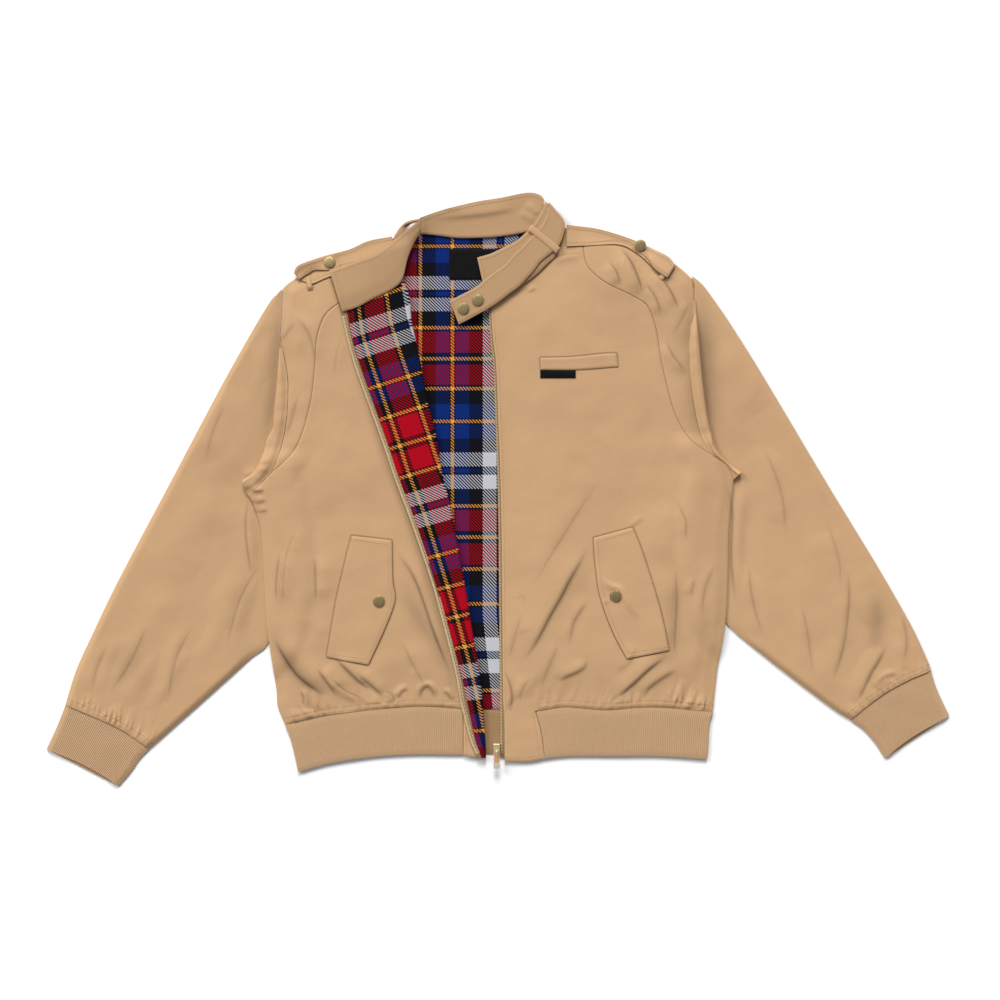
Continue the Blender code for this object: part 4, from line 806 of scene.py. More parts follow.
def plainer(index, ring):
    """The faces of a plainer inner skin, which still meets every point of its border."""
    rows, columns = index.shape[0] - 1, index.shape[1] - 1
    faces = []
    for i in range(0, rows, COARSE):
        down = min(i + COARSE, rows)
        for j in range(0, columns, COARSE):
            across = min(j + COARSE, columns)
            walk = [(i, n) for n in (range(j, across) if i == 0 else (j,))]
            walk += [(n, across) for n in (range(i, down) if across == columns and not ring else (i,))]
            walk += [(down, n) for n in (range(across, j, -1) if down == rows else (across,))]
            walk += [(n, j) for n in (range(down, i, -1) if j == 0 and not ring else (down,))]
            faces.append([int(index[place]) for place in reversed(walk)])
    return faces


def wall(name, outer, inner, finish, ring=False, uv=None, covers=()):
    """A closed wall of cloth between an outer and an inner grid of points in millimetres.

    covers are the outlines of pieces that lie on it. Round them the finish dips its bump and paints shade,
    and a wall with covers also carries the painted shade of creases and hollows."""
    rows, columns = outer.shape[:2]
    count = rows * columns
    index = np.arange(count).reshape(rows, columns)
    if ring:
        index = np.concatenate([index, index[:, :1]], axis=1)
        rims = [index[0, :-1], index[-1, -2::-1]]
    else:
        rims = [np.concatenate([index[0, :-1], index[:-1, -1], index[-1, :0:-1], index[:0:-1, 0]])]
    quads = np.stack([index[:-1, :-1], index[1:, :-1], index[1:, 1:], index[:-1, 1:]], axis=-1)
    faces = quads.reshape(-1, 4).tolist() + plainer(index + count, ring)
    for rim in rims:
        ahead = np.roll(rim, -1)
        faces += np.stack([rim, ahead, ahead + count, rim + count], axis=1).tolist()
    used, packed = np.unique(np.fromiter(itertools.chain.from_iterable(faces), int), return_inverse=True)
    packed = iter(packed.tolist())
    faces = [[next(packed) for _ in face] for face in faces]
    places = np.concatenate([outer.reshape(-1, 3), inner.reshape(-1, 3)])[used]
    mesh = bpy.data.meshes.new(name)
    mesh.from_pydata((places * MM).tolist(), [], faces)
    covered = np.full(len(used), COVER_FAR)
    for outline in covers:
        close = beside(places[:, :2], outline, COVER_REACH)
        if close.any():
            away = distance(places[close], outline)
            away = np.where(inside(places[close], outline), -away, away)
            covered[close] = np.minimum(covered[close], away)
    for title, values in {"covered_mm": covered, **(shade_of(places[:, :2]) if covers else {})}.items():
        mesh.attributes.new(title, "FLOAT", "POINT").data.foreach_set("value", values.astype(np.float32))
    form = bmesh.new()
    form.from_mesh(mesh)
    bmesh.ops.recalc_face_normals(form, faces=form.faces)
    form.to_mesh(mesh)
    form.free()
    corners = np.empty(len(mesh.loops), np.int32)
    mesh.loops.foreach_get("vertex_index", corners)
    flat_uv = np.concatenate([(outer[..., :2] if uv is None else uv).reshape(-1, 2)] * 2)[used][corners]
    mesh.uv_layers.new(name="cloth_mm").data.foreach_set("uv", flat_uv.astype(np.float32).reshape(-1))
    return dressed(name, mesh, finish)


def dressed(name, mesh, finish, kind="cloth", body=JACKET):
    """The mesh as a finished piece that rides on a body and stands for its solid."""
    mesh.shade_smooth()
    mesh.set_sharp_from_angle(angle=math.radians(50))
    if finish.name not in mesh.materials:
        mesh.materials.append(finish)
    piece = bpy.data.objects.new(f"{name}_{kind}", mesh)
    bpy.context.scene.collection.objects.link(piece)
    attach(piece, body)
    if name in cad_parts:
        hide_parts(name)
    print(f"{piece.name}: {len(mesh.polygons)} faces")
    return piece


# %% [markdown]
# ## What was cut
# Every piece of cloth was flat once, and larger than what it covers now, because folds and gathers take up
# length. So its size isn't typed in: it is measured along the rows and columns of the finished grid, and its
# area over all of its small faces.

# %% Measuring what was cut
# The narrowest width in millimetres, and the least share of its rectangle, that a sheet's measures are held
# to.
NARROWEST, LEAST_AREA = 10.0, 0.31


def cut_from(piece, grid):
    """Works out the width, length and area of the sheet that a grid was cut from, and keeps none; piece is
    not used.
    """
    wide = max(length_of(row) for row in grid[:: max(1, len(grid) // 12)])
    long = max(length_of(grid[:, k]) for k in range(0, grid.shape[1], max(1, grid.shape[1] // 12)))
    wide, long = max(wide, NARROWEST), max(long, NARROWEST)
    a, b = grid[1:, :-1] - grid[:-1, :-1], grid[:-1, 1:] - grid[:-1, :-1]
    area = np.linalg.norm(np.cross(a, b), axis=-1).sum()
    area = min(max(area, LEAST_AREA * wide * long), wide * long)


# %% Panels and sheets
def raised(plan, heights):
    return np.concatenate([plan, np.asarray(heights)[..., None]], axis=-1)


def seamed(grid, gap=SEAM_GAP / 2, first=1, last=1):
    """A plan grid drawn in from its four edges by half of a seam's gap, less along its first or last row."""
    moved = grid.copy()
    moved[:, 0] += gap * sideways(grid[:, 0], grid[:, 1])
    moved[:, -1] += gap * sideways(grid[:, -1], grid[:, -2])
    moved[0] += np.reshape(first, (-1, 1)) * gap * sideways(grid[0], grid[1])
    moved[-1] += np.reshape(last, (-1, 1)) * gap * sideways(grid[-1], grid[-2])
    return moved


def panel(name, plan, top, thickness, finish, relief=None, covers=(), uv=None, sides=(1, 1, 1, 1)):
    """A flat-lying panel: top gives the height of its plain face, and relief what is raised on it."""
    plain = top(plan)
    face = plain + (relief(plan) if relief else 0) - rolled(plan, sides)
    outer, inner = raised(plan, face), raised(plan, np.minimum(plain - thickness, face - thickness / 3))
    cut_from(wall(name, outer, inner, finish, uv=uv, covers=covers), outer)


def sheet(name, plan, thickness, finish, height):
    """A panel whose height also depends on the place along it (u) and across it (v)."""
    plan = seamed(plan)
    u = even(plan.shape[0] - 1)[:, None] + 0 * plan[..., 0]
    v = even(plan.shape[1] - 1)[None, :] + 0 * plan[..., 0]
    panel(name, plan, lambda p: height(p, u, v), thickness, finish)


# %% [markdown]
# ## Strips that are folded back
# The lapel, the epaulettes and the cloth at the armholes are strips folded over on themselves. A cloth
# simulation won't stop on a given line, so the section is drawn: an upper leg, a half circle at the fold, and
# a lower leg.

# %% Where the two skins of a folded strip run
def along(line, reach):
    """The point at a distance along a polyline, past its ends too."""
    for a, b in zip(line[:-1], line[1:]):
        step = math.hypot(*(b - a))
        if reach <= step or b is line[-1]:
            break
        reach -= step
    return a + (b - a) * (reach / step)


def folded(rows, upper, lower, top, under, thickness, steps=(30, 8, 6), under_rows=None):
    """Grids of a strip folded back on itself. Each row is a plan line that starts at the fold, and the
    last grid says how far along the strip each point is, less than nothing on the lower leg."""
    rows = [list(row) for row in rows]
    low_rows = [list(row) for row in under_rows] if under_rows is not None else rows

    def places(lines, reaches):
        return np.array([along(line, reach) for line, reach in zip(lines, reaches)])

    upper, lower = np.asarray(upper, float), np.asarray(lower, float)
    nil = np.zeros(len(rows))
    radius = (top(places(rows, nil)) - under(places(low_rows, nil))) / 2
    outer, inner, reached = [], [], []
    for share in graded_end(steps[0]):
        reach = upper + (radius - upper) * share
        p = places(rows, reach)
        outer.append(raised(p, top(p)))
        inner.append(raised(p, top(p) - thickness))
        reached.append(reach)
    middle = (top(places(rows, radius)) + under(places(low_rows, radius))) / 2
    for k in range(steps[1] + 1):
        angle = math.pi * k / steps[1]
        for grid, r in ((outer, radius), (inner, radius - thickness)):
            reach = radius - r * math.sin(angle)
            p = places(rows, reach) * (1 - k / steps[1]) + places(low_rows, reach) * (k / steps[1])
            grid.append(raised(p, middle + r * math.cos(angle)))
        reached.append(radius * (1 - k / steps[1]))
    for k in range(1, steps[2] + 1):
        reach = radius + (lower - radius) * k / steps[2]
        p = places(low_rows, reach)
        outer.append(raised(p, under(p)))
        inner.append(raised(p, under(p) + thickness))
        reached.append(-reach)
    return [np.stack(grid, axis=1) for grid in (outer, inner, reached)]


def graded_end(steps):
    return [(k / steps) ** 1.25 for k in range(steps)]


# %% [markdown]
# ## Flattened tubes
# A sleeve and a cuff are tubes that lie flat. A squashed cylinder would look alike, but its seams wouldn't
# run on the right lines. Each row of points here goes once round a ring: a full upper side, tight round
# edges, and a lower side on the floor.

# %% A flattened tube
EDGE_LEAD, FLOOR_AIR = 0.25, 0.3


def tube(plan, top, thickness, relief, lowest=EDGE_MIDDLE, under_steps=10):
    """Grids of a flattened tube: each row of the plan is a section from its outer to its inner edge."""
    first, last = plan[:, :1], plan[:, -1:]
    width = np.linalg.norm(last - first, axis=-1)
    across = (last - first) / width[..., None]
    edge = np.minimum(np.linalg.norm(plan - first, axis=-1), np.linalg.norm(plan - last, axis=-1))
    height = lowest + (top(plan) - lowest) * smooth(EDGE_LEAD + edge / EDGE_ROUND)
    height[:, 0] = height[:, -1] = lowest
    outside = raised(plan, height + relief(plan) * smooth(edge / EDGE_ROUND))
    inset = plan.copy()
    inset[:, 0] += across[:, 0] * thickness
    inset[:, -1] -= across[:, 0] * thickness
    inside = raised(inset, np.maximum(height - thickness, thickness + FLOOR_AIR))
    n = even(under_steps)[None, :]
    reach = width - EDGE_TURN - (width - 2 * EDGE_TURN) * n
    below = raised(first + across * reach[..., None], reach * 0)
    reach = width - 2 * EDGE_TURN - (width - 4 * EDGE_TURN) * n
    above = raised(first + across * reach[..., None], reach * 0 + thickness)
    return np.concatenate([outside, below], axis=1), np.concatenate([inside, above], axis=1)


def closed(grid):
    return np.concatenate([grid, grid[:, :1]], axis=1)


# %% [markdown]
# ## Finishes
# Each finish is a small tree of nodes that works in millimetres of cloth, on the UV map that every wall
# carries. An image of a real fabric would be quicker, but a tree has no edge, no repeat and no light of
# its own baked in. A chart colour goes through one function, because shaders work with linear light.


# %% Colours and nodes
def srgb(colour):
    """A colour written as in a paint chart, as the linear values that a shader takes."""
    values = [int(colour[n:n + 2], 16) / 255 for n in (1, 3, 5)]
    return [v / 12.92 if v <= 0.04045 else ((v + 0.055) / 1.055) ** 2.4 for v in values] + [1]


def add(tree, kind, inputs=(), **settings):
    """Adds a node with its settings, and feeds its inputs with values or with other nodes' sockets."""
    made = tree.nodes.new(kind)
    for name, value in settings.items():
        setattr(made, name, value)
    for key, value in dict(inputs).items():
        if isinstance(value, bpy.types.NodeSocket):
            tree.links.new(value, made.inputs[key])
        else:
            made.inputs[key].default_value = value
    return made


def sums(tree, operation, *values):
    """A number worked out from others."""
    return add(tree, "ShaderNodeMath", enumerate(values), operation=operation).outputs[0]


def finish(name, slot, roughness, metallic=0.0, sheen=0.0):
    """A new material with its tree and shader; slot is not used."""
    made = bpy.data.materials.new(name)
    made.use_nodes = True
    shader = made.node_tree.nodes["Principled BSDF"]
    shader.inputs["Roughness"].default_value = roughness
    shader.inputs["Metallic"].default_value = metallic
    shader.inputs["Sheen Weight"].default_value = sheen
    return made, made.node_tree, shader


def cloth_place(tree):
    return add(tree, "ShaderNodeUVMap", uv_map="cloth_mm").outputs["UV"]


def speckle(tree, place, size, detail=2.0):
    """Noise with spots of a given size in millimetres."""
    return add(tree, "ShaderNodeTexNoise", {"Vector": place, "Scale": 1 / size, "Detail": detail}).outputs[0]


def varied(tree, colour, *shares):
    """A colour made lighter and darker by noises: each share is a noise and how far it goes."""
    level = 1.0
    for noise_value, amount in shares:
        spread = sums(tree, "SUBTRACT", noise_value, 0.5)
        level = sums(tree, "ADD", level, sums(tree, "MULTIPLY", spread, amount))
    return scaled(tree, colour, level)


def bumped(tree, shader, height, depth):
    """Raises a finish's surface by a height between 0 and 1, over a depth in millimetres."""
    relief = add(tree, "ShaderNodeBump", {"Height": height, "Distance": depth * MM, "Strength": 1.0})
    tree.links.new(relief.outputs[0], shader.inputs["Normal"])


# %% [markdown]
# ## Brushed cotton twill, and rib knit
# The shell is a dense cotton twill, dyed, brushed and worn: even and dull, with a faint sheen at a slant. Its
# bump dips along the edge of a piece that presses on it, and shade is painted there and in its creases and
# hollows. The twill's own ribs, half a millimetre apart, are too fine to show, so they are drawn coarser. The
# hems are knitted from the same yarn. Darker copies of the twill and of the rib paint the shade on the
# collar's two ends, the strap and the back's rib.

# %% Cotton twill
TWILL_PITCH, EDGE_PRESS_AND_SHADE = 0.9, 2.4
# How much painted shade darkens the cloth at the bottom of a crease, on its flanks, in a hollow and beside an
# edge.
VALLEY_SHADE, FLANK_SHADE, HOLLOW_SHADE, EDGE_SHADE = 0.27, 0.2, 0.55, 0.38


def ramped(tree, value, start, end):
    """A soft step from 0 at the start to 1 at the end."""
    return add(tree, "ShaderNodeMapRange", {"Value": value, "From Min": start, "From Max": end},
               interpolation_type="SMOOTHSTEP").outputs[0]


def scaled(tree, colour, level):
    return add(tree, "ShaderNodeVectorMath", {0: colour, "Scale": level}, operation="SCALE").outputs[0]


def twill(tree, place, pitch):
    """The diagonal ribs of a twill weave, between 0 and 1."""
    parts = add(tree, "ShaderNodeSeparateXYZ", {0: place})
    slant = sums(tree, "SUBTRACT", parts.outputs[0], parts.outputs[1])
    return sums(tree, "PINGPONG", sums(tree, "DIVIDE", slant, pitch / 2), 1.0)


def cotton(name, slot, colour, rough=0.82):
    """Brushed cotton twill, with painted shade in creases, hollows and along the edge of a piece that presses
    on it.
    """
    made, tree, shader = finish(name, slot, rough, sheen=0.12)
    shader.inputs["Sheen Tint"].default_value = srgb(colour)
    place = cloth_place(tree)
    away, valley, deep, hollow = (add(tree, "ShaderNodeAttribute", attribute_name=title).outputs["Fac"]
                                  for title in ("covered_mm", "crease_mm", "crease_depth", "hollow"))
    # Painted shade beside the edge of each piece that lies on this cloth; the same mask dips the bump there.
    pressed_and_shaded = ramped(tree, away, 0.2, EDGE_PRESS_AND_SHADE)
    cloud, slub, fibre = speckle(tree, place, 70), speckle(tree, place, 5.5), speckle(tree, place, 1.5, 4)
    base = varied(tree, srgb(colour)[:3], (cloud, 0.1), (slub, 0.06), (fibre, 0.16))
    # Painted shade at the bottom and on the flanks of each crease, and in each painted hollow.
    bottom = ramped(tree, sums(tree, "ABSOLUTE", valley), 2.2, 0.2)
    foot = ramped(tree, sums(tree, "ABSOLUTE", valley), SHADE_REACH, 0.0)
    shade = sums(tree, "MULTIPLY_ADD", bottom, VALLEY_SHADE, sums(tree, "MULTIPLY", foot, FLANK_SHADE))
    shade = sums(tree, "MULTIPLY_ADD", hollow, HOLLOW_SHADE, sums(tree, "MULTIPLY", deep, shade))
    painted_edge_shade = sums(tree, "MULTIPLY_ADD", pressed_and_shaded, EDGE_SHADE, 1 - EDGE_SHADE)
    base = scaled(tree, base, sums(tree, "MULTIPLY", sums(tree, "SUBTRACT", 1.0, shade), painted_edge_shade))
    tree.links.new(base, shader.inputs["Base Color"])
    height = sums(tree, "MULTIPLY_ADD", twill(tree, place, TWILL_PITCH), 0.16,
                  sums(tree, "MULTIPLY_ADD", fibre, 0.5, pressed_and_shaded))
    bumped(tree, shader, height, 0.35)
    return made


COTTON = cotton("tan_cotton_twill", "tan_cotton", "#BB956D")
# A darker copy of the twill, which paints the shade on the collar's two ends and on the strap.
SHADED_COTTON = cotton("tan_cotton_twill_cut_across", "tan_cotton", "#AF8B65")
# A darker copy of the rib knit, which paints the shade that falls on the back's rib between the fronts.
RIB_SHADED = cotton("tan_rib_knit_inside", "rib_knit", "#94744F", 0.92)
RIB_KNIT = cotton("tan_rib_knit", "rib_knit", "#B5936F", 0.92)

# %% [markdown]
# ## The tartan
# A tartan is one list of stripes, woven the same way in both directions. Wherever a lengthwise stripe
# crosses a crosswise one, the weave shows both colours as fine diagonal lines. So the list is written
# once, as a colour ramp with hard steps, it is read along and across, and a diagonal chooses between
# the two. The repeat was counted on the lining in the photograph, and so was the spacing of the diagonal.
# The lining is a soft matt cotton, so nothing shines on it.

# %% Tartan
REPEAT, HATCH = 238.5, 4.4
YARNS = {"red": "#A20519", "black": "#0D0D12", "blue": "#082669", "white": "#B6B6BC", "orange": "#DB9440"}
# Where each stripe starts, in the photograph's pixels, on a repeat of 180.
SETT_LENGTH = 180
SETT = [(0, "orange"), (2, "black"), (6, "red"), (27, "black"), (29.3, "orange"), (32.4, "black"),
        (47, "blue"), (61, "black"), (62.4, "orange"), (65.6, "black"), (67.2, "blue"), (81, "black"),
        (95.5, "white"), (109.5, "black"), (111.5, "blue"), (116, "black"), (118, "white"), (132, "black"),
        (147.4, "orange"), (150.6, "black"), (153, "red"), (174, "black"), (178, "orange")]


def stripes(tree, reach):
    """The stripes of the tartan along one direction."""
    share = sums(tree, "FRACT", sums(tree, "DIVIDE", reach, REPEAT))
    chart = add(tree, "ShaderNodeValToRGB", {0: share})
    ramp = chart.color_ramp
    ramp.interpolation = "CONSTANT"
    for start, yarn in SETT[1:]:
        ramp.elements.new(start / SETT_LENGTH).color = srgb(YARNS[yarn])
    ramp.elements[0].position, ramp.elements[0].color = 0, srgb(YARNS[SETT[0][1]])
    ramp.elements.remove(ramp.elements[-1])
    return chart.outputs[0]


def tartan(name):
    made, tree, shader = finish(name, "tartan_cotton", 0.9)
    shader.inputs["Specular IOR Level"].default_value = 0.08
    place = cloth_place(tree)
    parts = add(tree, "ShaderNodeSeparateXYZ", {0: place})
    slant = sums(tree, "SUBTRACT", parts.outputs[0], parts.outputs[1])
    over = sums(tree, "FRACT", sums(tree, "DIVIDE", slant, HATCH))
    warp, weft = stripes(tree, parts.outputs[0]), stripes(tree, parts.outputs[1])
    mixed = add(tree, "ShaderNodeMix", {"Factor": sums(tree, "GREATER_THAN", over, 0.5), 6: warp, 7: weft},
                data_type="RGBA")
    fibre, cloud = speckle(tree, place, 1.6, 4), speckle(tree, place, 40)
    # Where two colours cross, the lines of one stand up and are painted a little lighter, and those of the
    # other are painted a little darker, as shade.
    apart = add(tree, "ShaderNodeVectorMath", {0: warp, 1: weft}, operation="DISTANCE")
    mixes = sums(tree, "GREATER_THAN", apart.outputs["Value"], 0.02)
    valley = sums(tree, "PINGPONG", sums(tree, "MULTIPLY", over, 2.0), 0.5)
    valley = sums(tree, "MULTIPLY", sums(tree, "SMOOTH_MAX", valley, 0.12, 0.1), 1.9)
    shade = sums(tree, "MULTIPLY_ADD", mixes, sums(tree, "SUBTRACT", valley, 0.8), 1.0)
    shaded = scaled(tree, mixed.outputs[2], shade)
    base = varied(tree, shaded, (fibre, 0.3), (cloud, 0.12))
    tree.links.new(base, shader.inputs["Base Color"])
    bumped(tree, shader, sums(tree, "MULTIPLY_ADD", twill(tree, place, HATCH / 2), 0.2, fibre), 0.25)
    return made


TARTAN_BACK = tartan("tartan_back_twill")
TARTAN_FRONT = tartan("tartan_front_twill")
print("stripes in a repeat:", len(SETT), "over", REPEAT, "mm")

# %% [markdown]
# ## Narrow woven goods
# The labels are a dense black satin and the zip's tapes a coarser tan band, woven from polyester with fine
# ribs across, and matt. Their threads, about 0.3 mm apart, are too fine to show, so the ribs are drawn as
# coarse as they need to show.


# %% Labels and zip tapes
def woven(name, slot, colour, rough, pitch):
    made, tree, shader = finish(name, slot, rough)
    shader.inputs["Specular IOR Level"].default_value = 0.1
    place = cloth_place(tree)
    parts = add(tree, "ShaderNodeSeparateXYZ", {0: place})
    cords = sums(tree, "PINGPONG", sums(tree, "DIVIDE", parts.outputs[1], pitch / 2), 1.0)
    fibre = speckle(tree, place, 1.2, 3)
    tree.links.new(varied(tree, srgb(colour)[:3], (cords, 0.12), (fibre, 0.25)), shader.inputs["Base Color"])
    bumped(tree, shader, sums(tree, "MULTIPLY_ADD", cords, 0.5, fibre), 0.15)
    return made


WOVEN_LABEL = woven("black_woven_label", "label_black", "#0B0B0D", 0.7, 0.8)
TAPE_WEAVE = woven("zip_tape_weave", "zip_tape", "#8A7352", 0.85, 1.2)

# %% [markdown]
# ## Plated metal
# The snap caps are pressed brass with an antique finish, the slider is plated in pale gold and the tab's tip
# in silver. All are rubbed matt, which gives broad soft highlights, with duller patches about 2.5 mm wide
# where the plating is worn. One tree serves all three.


# %% Brass, gold and silver plate
def metal(name, slot, bright, dull, rough):
    made, tree, shader = finish(name, slot, rough, 1.0)
    spot = add(tree, "ShaderNodeTexCoord").outputs["Object"]
    patches = speckle(tree, spot, 2.5 * MM, 5)
    worn = sums(tree, "MULTIPLY", sums(tree, "SUBTRACT", patches, 0.35), 2.2)
    mixed = add(tree, "ShaderNodeMix", {"Factor": worn, 6: srgb(bright), 7: srgb(dull)}, data_type="RGBA",
                clamp_factor=True)
    tree.links.new(mixed.outputs[2], shader.inputs["Base Color"])
    tree.links.new(sums(tree, "MULTIPLY_ADD", patches, 0.3, rough - 0.1), shader.inputs["Roughness"])
    bumped(tree, shader, speckle(tree, spot, 0.6 * MM, 2), 0.02)
    return made


BRASS = metal("antique_brass", "snap_brass", "#BBA779", "#897854", 0.4)
GOLD = metal("pale_gold_plate", "zip_metal", "#F0E2BE", "#CDBB90", 0.42)
SILVER = metal("silver_plate", "zip_metal", "#F6F4EE", "#D6D1C6", 0.45)

# %% [markdown]
# ## Leather, thread and the zip's coil
# The pull is tanned leather, whose grain, about 0.7 mm from pore to pore, breaks up its shine. The thread and
# the moulded coil are dyed polyester, smoother than cotton, so they catch a little more light.


# %% Leather and polyester
def leather(name, slot, colour):
    made, tree, shader = finish(name, slot, 0.55)
    spot = add(tree, "ShaderNodeTexCoord").outputs["Object"]
    grain = add(tree, "ShaderNodeTexVoronoi", {"Vector": spot, "Scale": 1 / (0.7 * MM)}).outputs["Distance"]
    cloud = speckle(tree, spot, 4 * MM)
    tree.links.new(varied(tree, srgb(colour)[:3], (grain, 0.25), (cloud, 0.3)), shader.inputs["Base Color"])
    bumped(tree, shader, grain, 0.1)
    return made


def plastic(name, slot, colour, rough):
    made, tree, shader = finish(name, slot, rough, sheen=0.05)
    cloud = speckle(tree, add(tree, "ShaderNodeTexCoord").outputs["Object"], 6 * MM)
    tree.links.new(varied(tree, srgb(colour)[:3], (cloud, 0.25)), shader.inputs["Base Color"])
    return made


LEATHER = leather("tan_pull_leather", "pull_tab_leather", "#B98A5C")
# The thread is a darker tan than the cloth. This paints the shade of the holes that stitches pull in, and the
# shade of a seam or fold where it is laid as a line.
THREAD_AND_SHADE = plastic("tan_sewing_thread", "tan_cotton", "#A67F58", 0.7)
COIL = plastic("beige_zip_coil", "zip_tape", "#D6BB94", 0.5)

# %% [markdown]
# ## The back
# The back is one wide piece of twill with a rib at its hem and a tartan lining inside. Shell and rib only
# show past the fronts, so they are plain panels. The lining's stripes have to run where they do on the real
# one, creeping up and down as loose cloth does, and its UV map does that.

# %% The back's shell
BACK_ROWS, BACK_COLUMNS = 70, 110


def back_body():
    edges = [turned_in(resampled(side.body, even(BACK_ROWS)), (0, 0), BACK_INSET) for side in SIDES]
    across = even(BACK_COLUMNS)
    shoulder = curve(RIGHT["shoulder"] + BACK_NECK[1:-1] + LEFT["shoulder"][::-1], across)
    hem = curve(RIGHT["hem"] + LEFT["hem"][::-1], across)
    plan = seamed(patch(*edges, shoulder, hem, across))
    panel("back_body", plan, lambda p: np.maximum(right.bed(p), left.bed(p)) + BACK_TOP,
          BACK_TOP, COTTON)


back_body()


# %% The back's lining
WARP_START, WEFT_START = plan_point(390.1, 358.5)
WARP_SCALE, NECK_LEAN, NECK_LEAN_FROM, FOOT_LEAN, FOOT_LEAN_FROM = 1.035, 0.049, 214, 0.11, -165
# How far up the crosswise stripes have crept. Columns: y in the photograph, creep in its pixels.
WEFT_DRIFT = [(360, 0), (388, 1.3), (421, 1.7), (505, 2.5), (536, 2.5), (568, 1.7), (604, 0), (637, -2.3),
              (660, -1.1)]
LINING_SAG, PLEAT_FROM, PLEAT_RAMP = 0.3, -276, 8


def back_lining():
    down, across = even(150), even(70)
    edges = [curve(table, down) for table in (BACK_LINING_RIGHT, BACK_LINING_LEFT)]
    foot = ruled(edges[0][-1:], edges[1][-1:], across)[0]
    plan = patch(*edges, curve(BACK_LINING_NECK, across), foot, across)
    x, y = plan[..., 0], plan[..., 1]
    rows, creeps = zip(*WEFT_DRIFT)
    drift = np.interp(-y, [-plan_point(0, row)[1] for row in rows], creeps)
    weft = WEFT_START - y - NECK_LEAN * np.maximum(y - NECK_LEAN_FROM, 0) + drift * PIXEL
    warp = (x - WARP_START) * WARP_SCALE - FOOT_LEAN * np.maximum(FOOT_LEAN_FROM - y, 0)
    uv = np.stack([warp, weft], axis=-1)

    def relief(p):
        return 0.35 * ripple(p, 40, 2.2) - LINING_SAG + smooth((PLEAT_FROM - p[..., 1]) / PLEAT_RAMP)

    panel("back_lining", plan, lambda p: LINING_TOP + 0 * p[..., 0], LINING, TARTAN_BACK,
          relief, uv=uv)


back_lining()


# %% The back's rib
def back_hem_rib():
    across, down = even(240), even(14)
    edges = [curve(RIGHT["rib_side"], down), curve(LEFT["rib_side"], down)]
    hem = resampled(curve(RIGHT["hem"] + LEFT["hem"][::-1], even(200)), across)
    end = curve(RIGHT["back_rib_end"] + LEFT["back_rib_end"][-2::-1], across)
    plan = seamed(patch(*edges, hem, end, across), 1.0)
    height = RIB_FLOOR - LAY_GAP
    panel("back_hem_rib", plan, lambda p: height + 0 * p[..., 0], height, RIB_SHADED)


back_hem_rib()

# %% [markdown]
# ## The fronts and the shoulder panels
# Each front is a long panel and a curved yoke from the neck to the underarm. Both are filled from the same
# seam curve. Their cloth is full, creased and gathered. It could be sculpted, but a relief of lines and noise
# can be corrected by one number.


# %% The fronts and shoulder panels
def stepped(line, step=GRID):
    return resampled(line, even(max(2, round(length_of(line) / step))))


def matched(table, partner):
    """Points of a curve that runs down the jacket, one for each of its partner's, at like heights."""
    fine = curve(table, 240)
    share = (partner[0, 1] - partner[:, 1]) / (partner[0, 1] - partner[-1, 1])
    height = fine[0, 1] + (fine[-1, 1] - fine[0, 1]) * share
    found = np.stack([np.interp(-height, -fine[:, 1], fine[:, 0]), height], axis=1)
    found[0], found[-1] = fine[0], fine[-1]
    return found


def front(side):
    parts = [stepped(curve(side.edges[seam], 120)) for seam in ("yoke", "underarm", "side")]
    outer_edge = np.vstack([parts[0], parts[1][1:], parts[2][1:]])
    opening = matched(side.edges["opening"], outer_edge)
    if side.name == "right":
        opening = turned_in(opening, RIGHTWARDS, LAPEL_INSET)
    across = graded(230)
    neck = ruled(outer_edge[:1], opening[:1], across)[0]
    hem = curve(side.edges["hem"], across)
    hem[-1] = opening[-1]
    ribbed = smooth(side.past_band(hem) / 3)
    plan = seamed(patch(outer_edge, opening, neck, hem, across, fade=3), last=ribbed)
    panel(f"{side.name}_front", plan, side.top, CLOTH, COTTON, side.relief, side.covers,
          sides=(1, ribbed, 1, 1))


# The yoke's last row stops this far along, where the seams meet in a point.
YOKE_END = 0.75


def shoulder_panel(side):
    count = round(length_of(side.seams["yoke"]) / GRID)
    armhole = curve(side.edges["armhole"], even(count) ** YOKE_LEAN)
    across = graded(70)
    rows = ruled(armhole, curve(side.edges["yoke"], count), across)
    shoulder = curve(side.edges["shoulder"], across)
    plan = patch(rows[:-1, 0], rows[:-1, -1], shoulder, rows[-2], across)
    last = rows[-2] + (rows[-1] - rows[-2]) * YOKE_END
    plan = seamed(np.concatenate([plan, last[None]]), 0.35)
    panel(f"{side.name}_shoulder_panel", plan, side.top, CLOTH, COTTON, side.relief,
          side.covers)


for side in SIDES:
    front(side)
    shoulder_panel(side)


# %% [markdown]
# ## Sleeves
# The sleeves lie a little under the body, and their own cloth is folded over along the armhole. Each is a
# flattened tube. Where it comes out from under the body it has folds of its own, and it is gathered where it
# meets the cuff.


# %% Sleeves and their heads
SLEEVE_SWELLS, HEAD_FOLDS = ((1.6, 72, 6.3), (0.7, 31, 9.4), (0.16, 12, 2.5)), 0.8
CUFF_GATHERS, CUFF_SEED = 1.2, 6.1


def sleeve_head(side):
    fold = curve(side.edges["sleeve_fold"], 120)
    seam = side.arm[side.arm[:, 1] < fold[0, 1]]
    seam = resampled(turned_in(seam, fold[60], SEAM_GAP), even(150))
    ends = resampled(fold, even(150))
    widths = np.linalg.norm(ends - seam, axis=1)

    def top(p):
        rise = HEAD_RISE[side.name] * smooth(distance(p, seam) / HEAD_RAMP)
        return side.top(p) + rise + 0.7 * ripple(p, 15, 4.4) + HEAD_FOLDS * fold_rise(p)

    outer, inner, _ = folded(np.stack([ends, seam], axis=1), widths, np.minimum(widths - 0.4, HEAD_TUCK), top,
                             lambda p: side.sleeve_top(p) + 2 * SEAM_GAP, CLOTH, (10, 6, 3))
    piece = wall(f"{side.name}_sleeve_head", outer, inner, COTTON)
    cut_from(piece, outer)


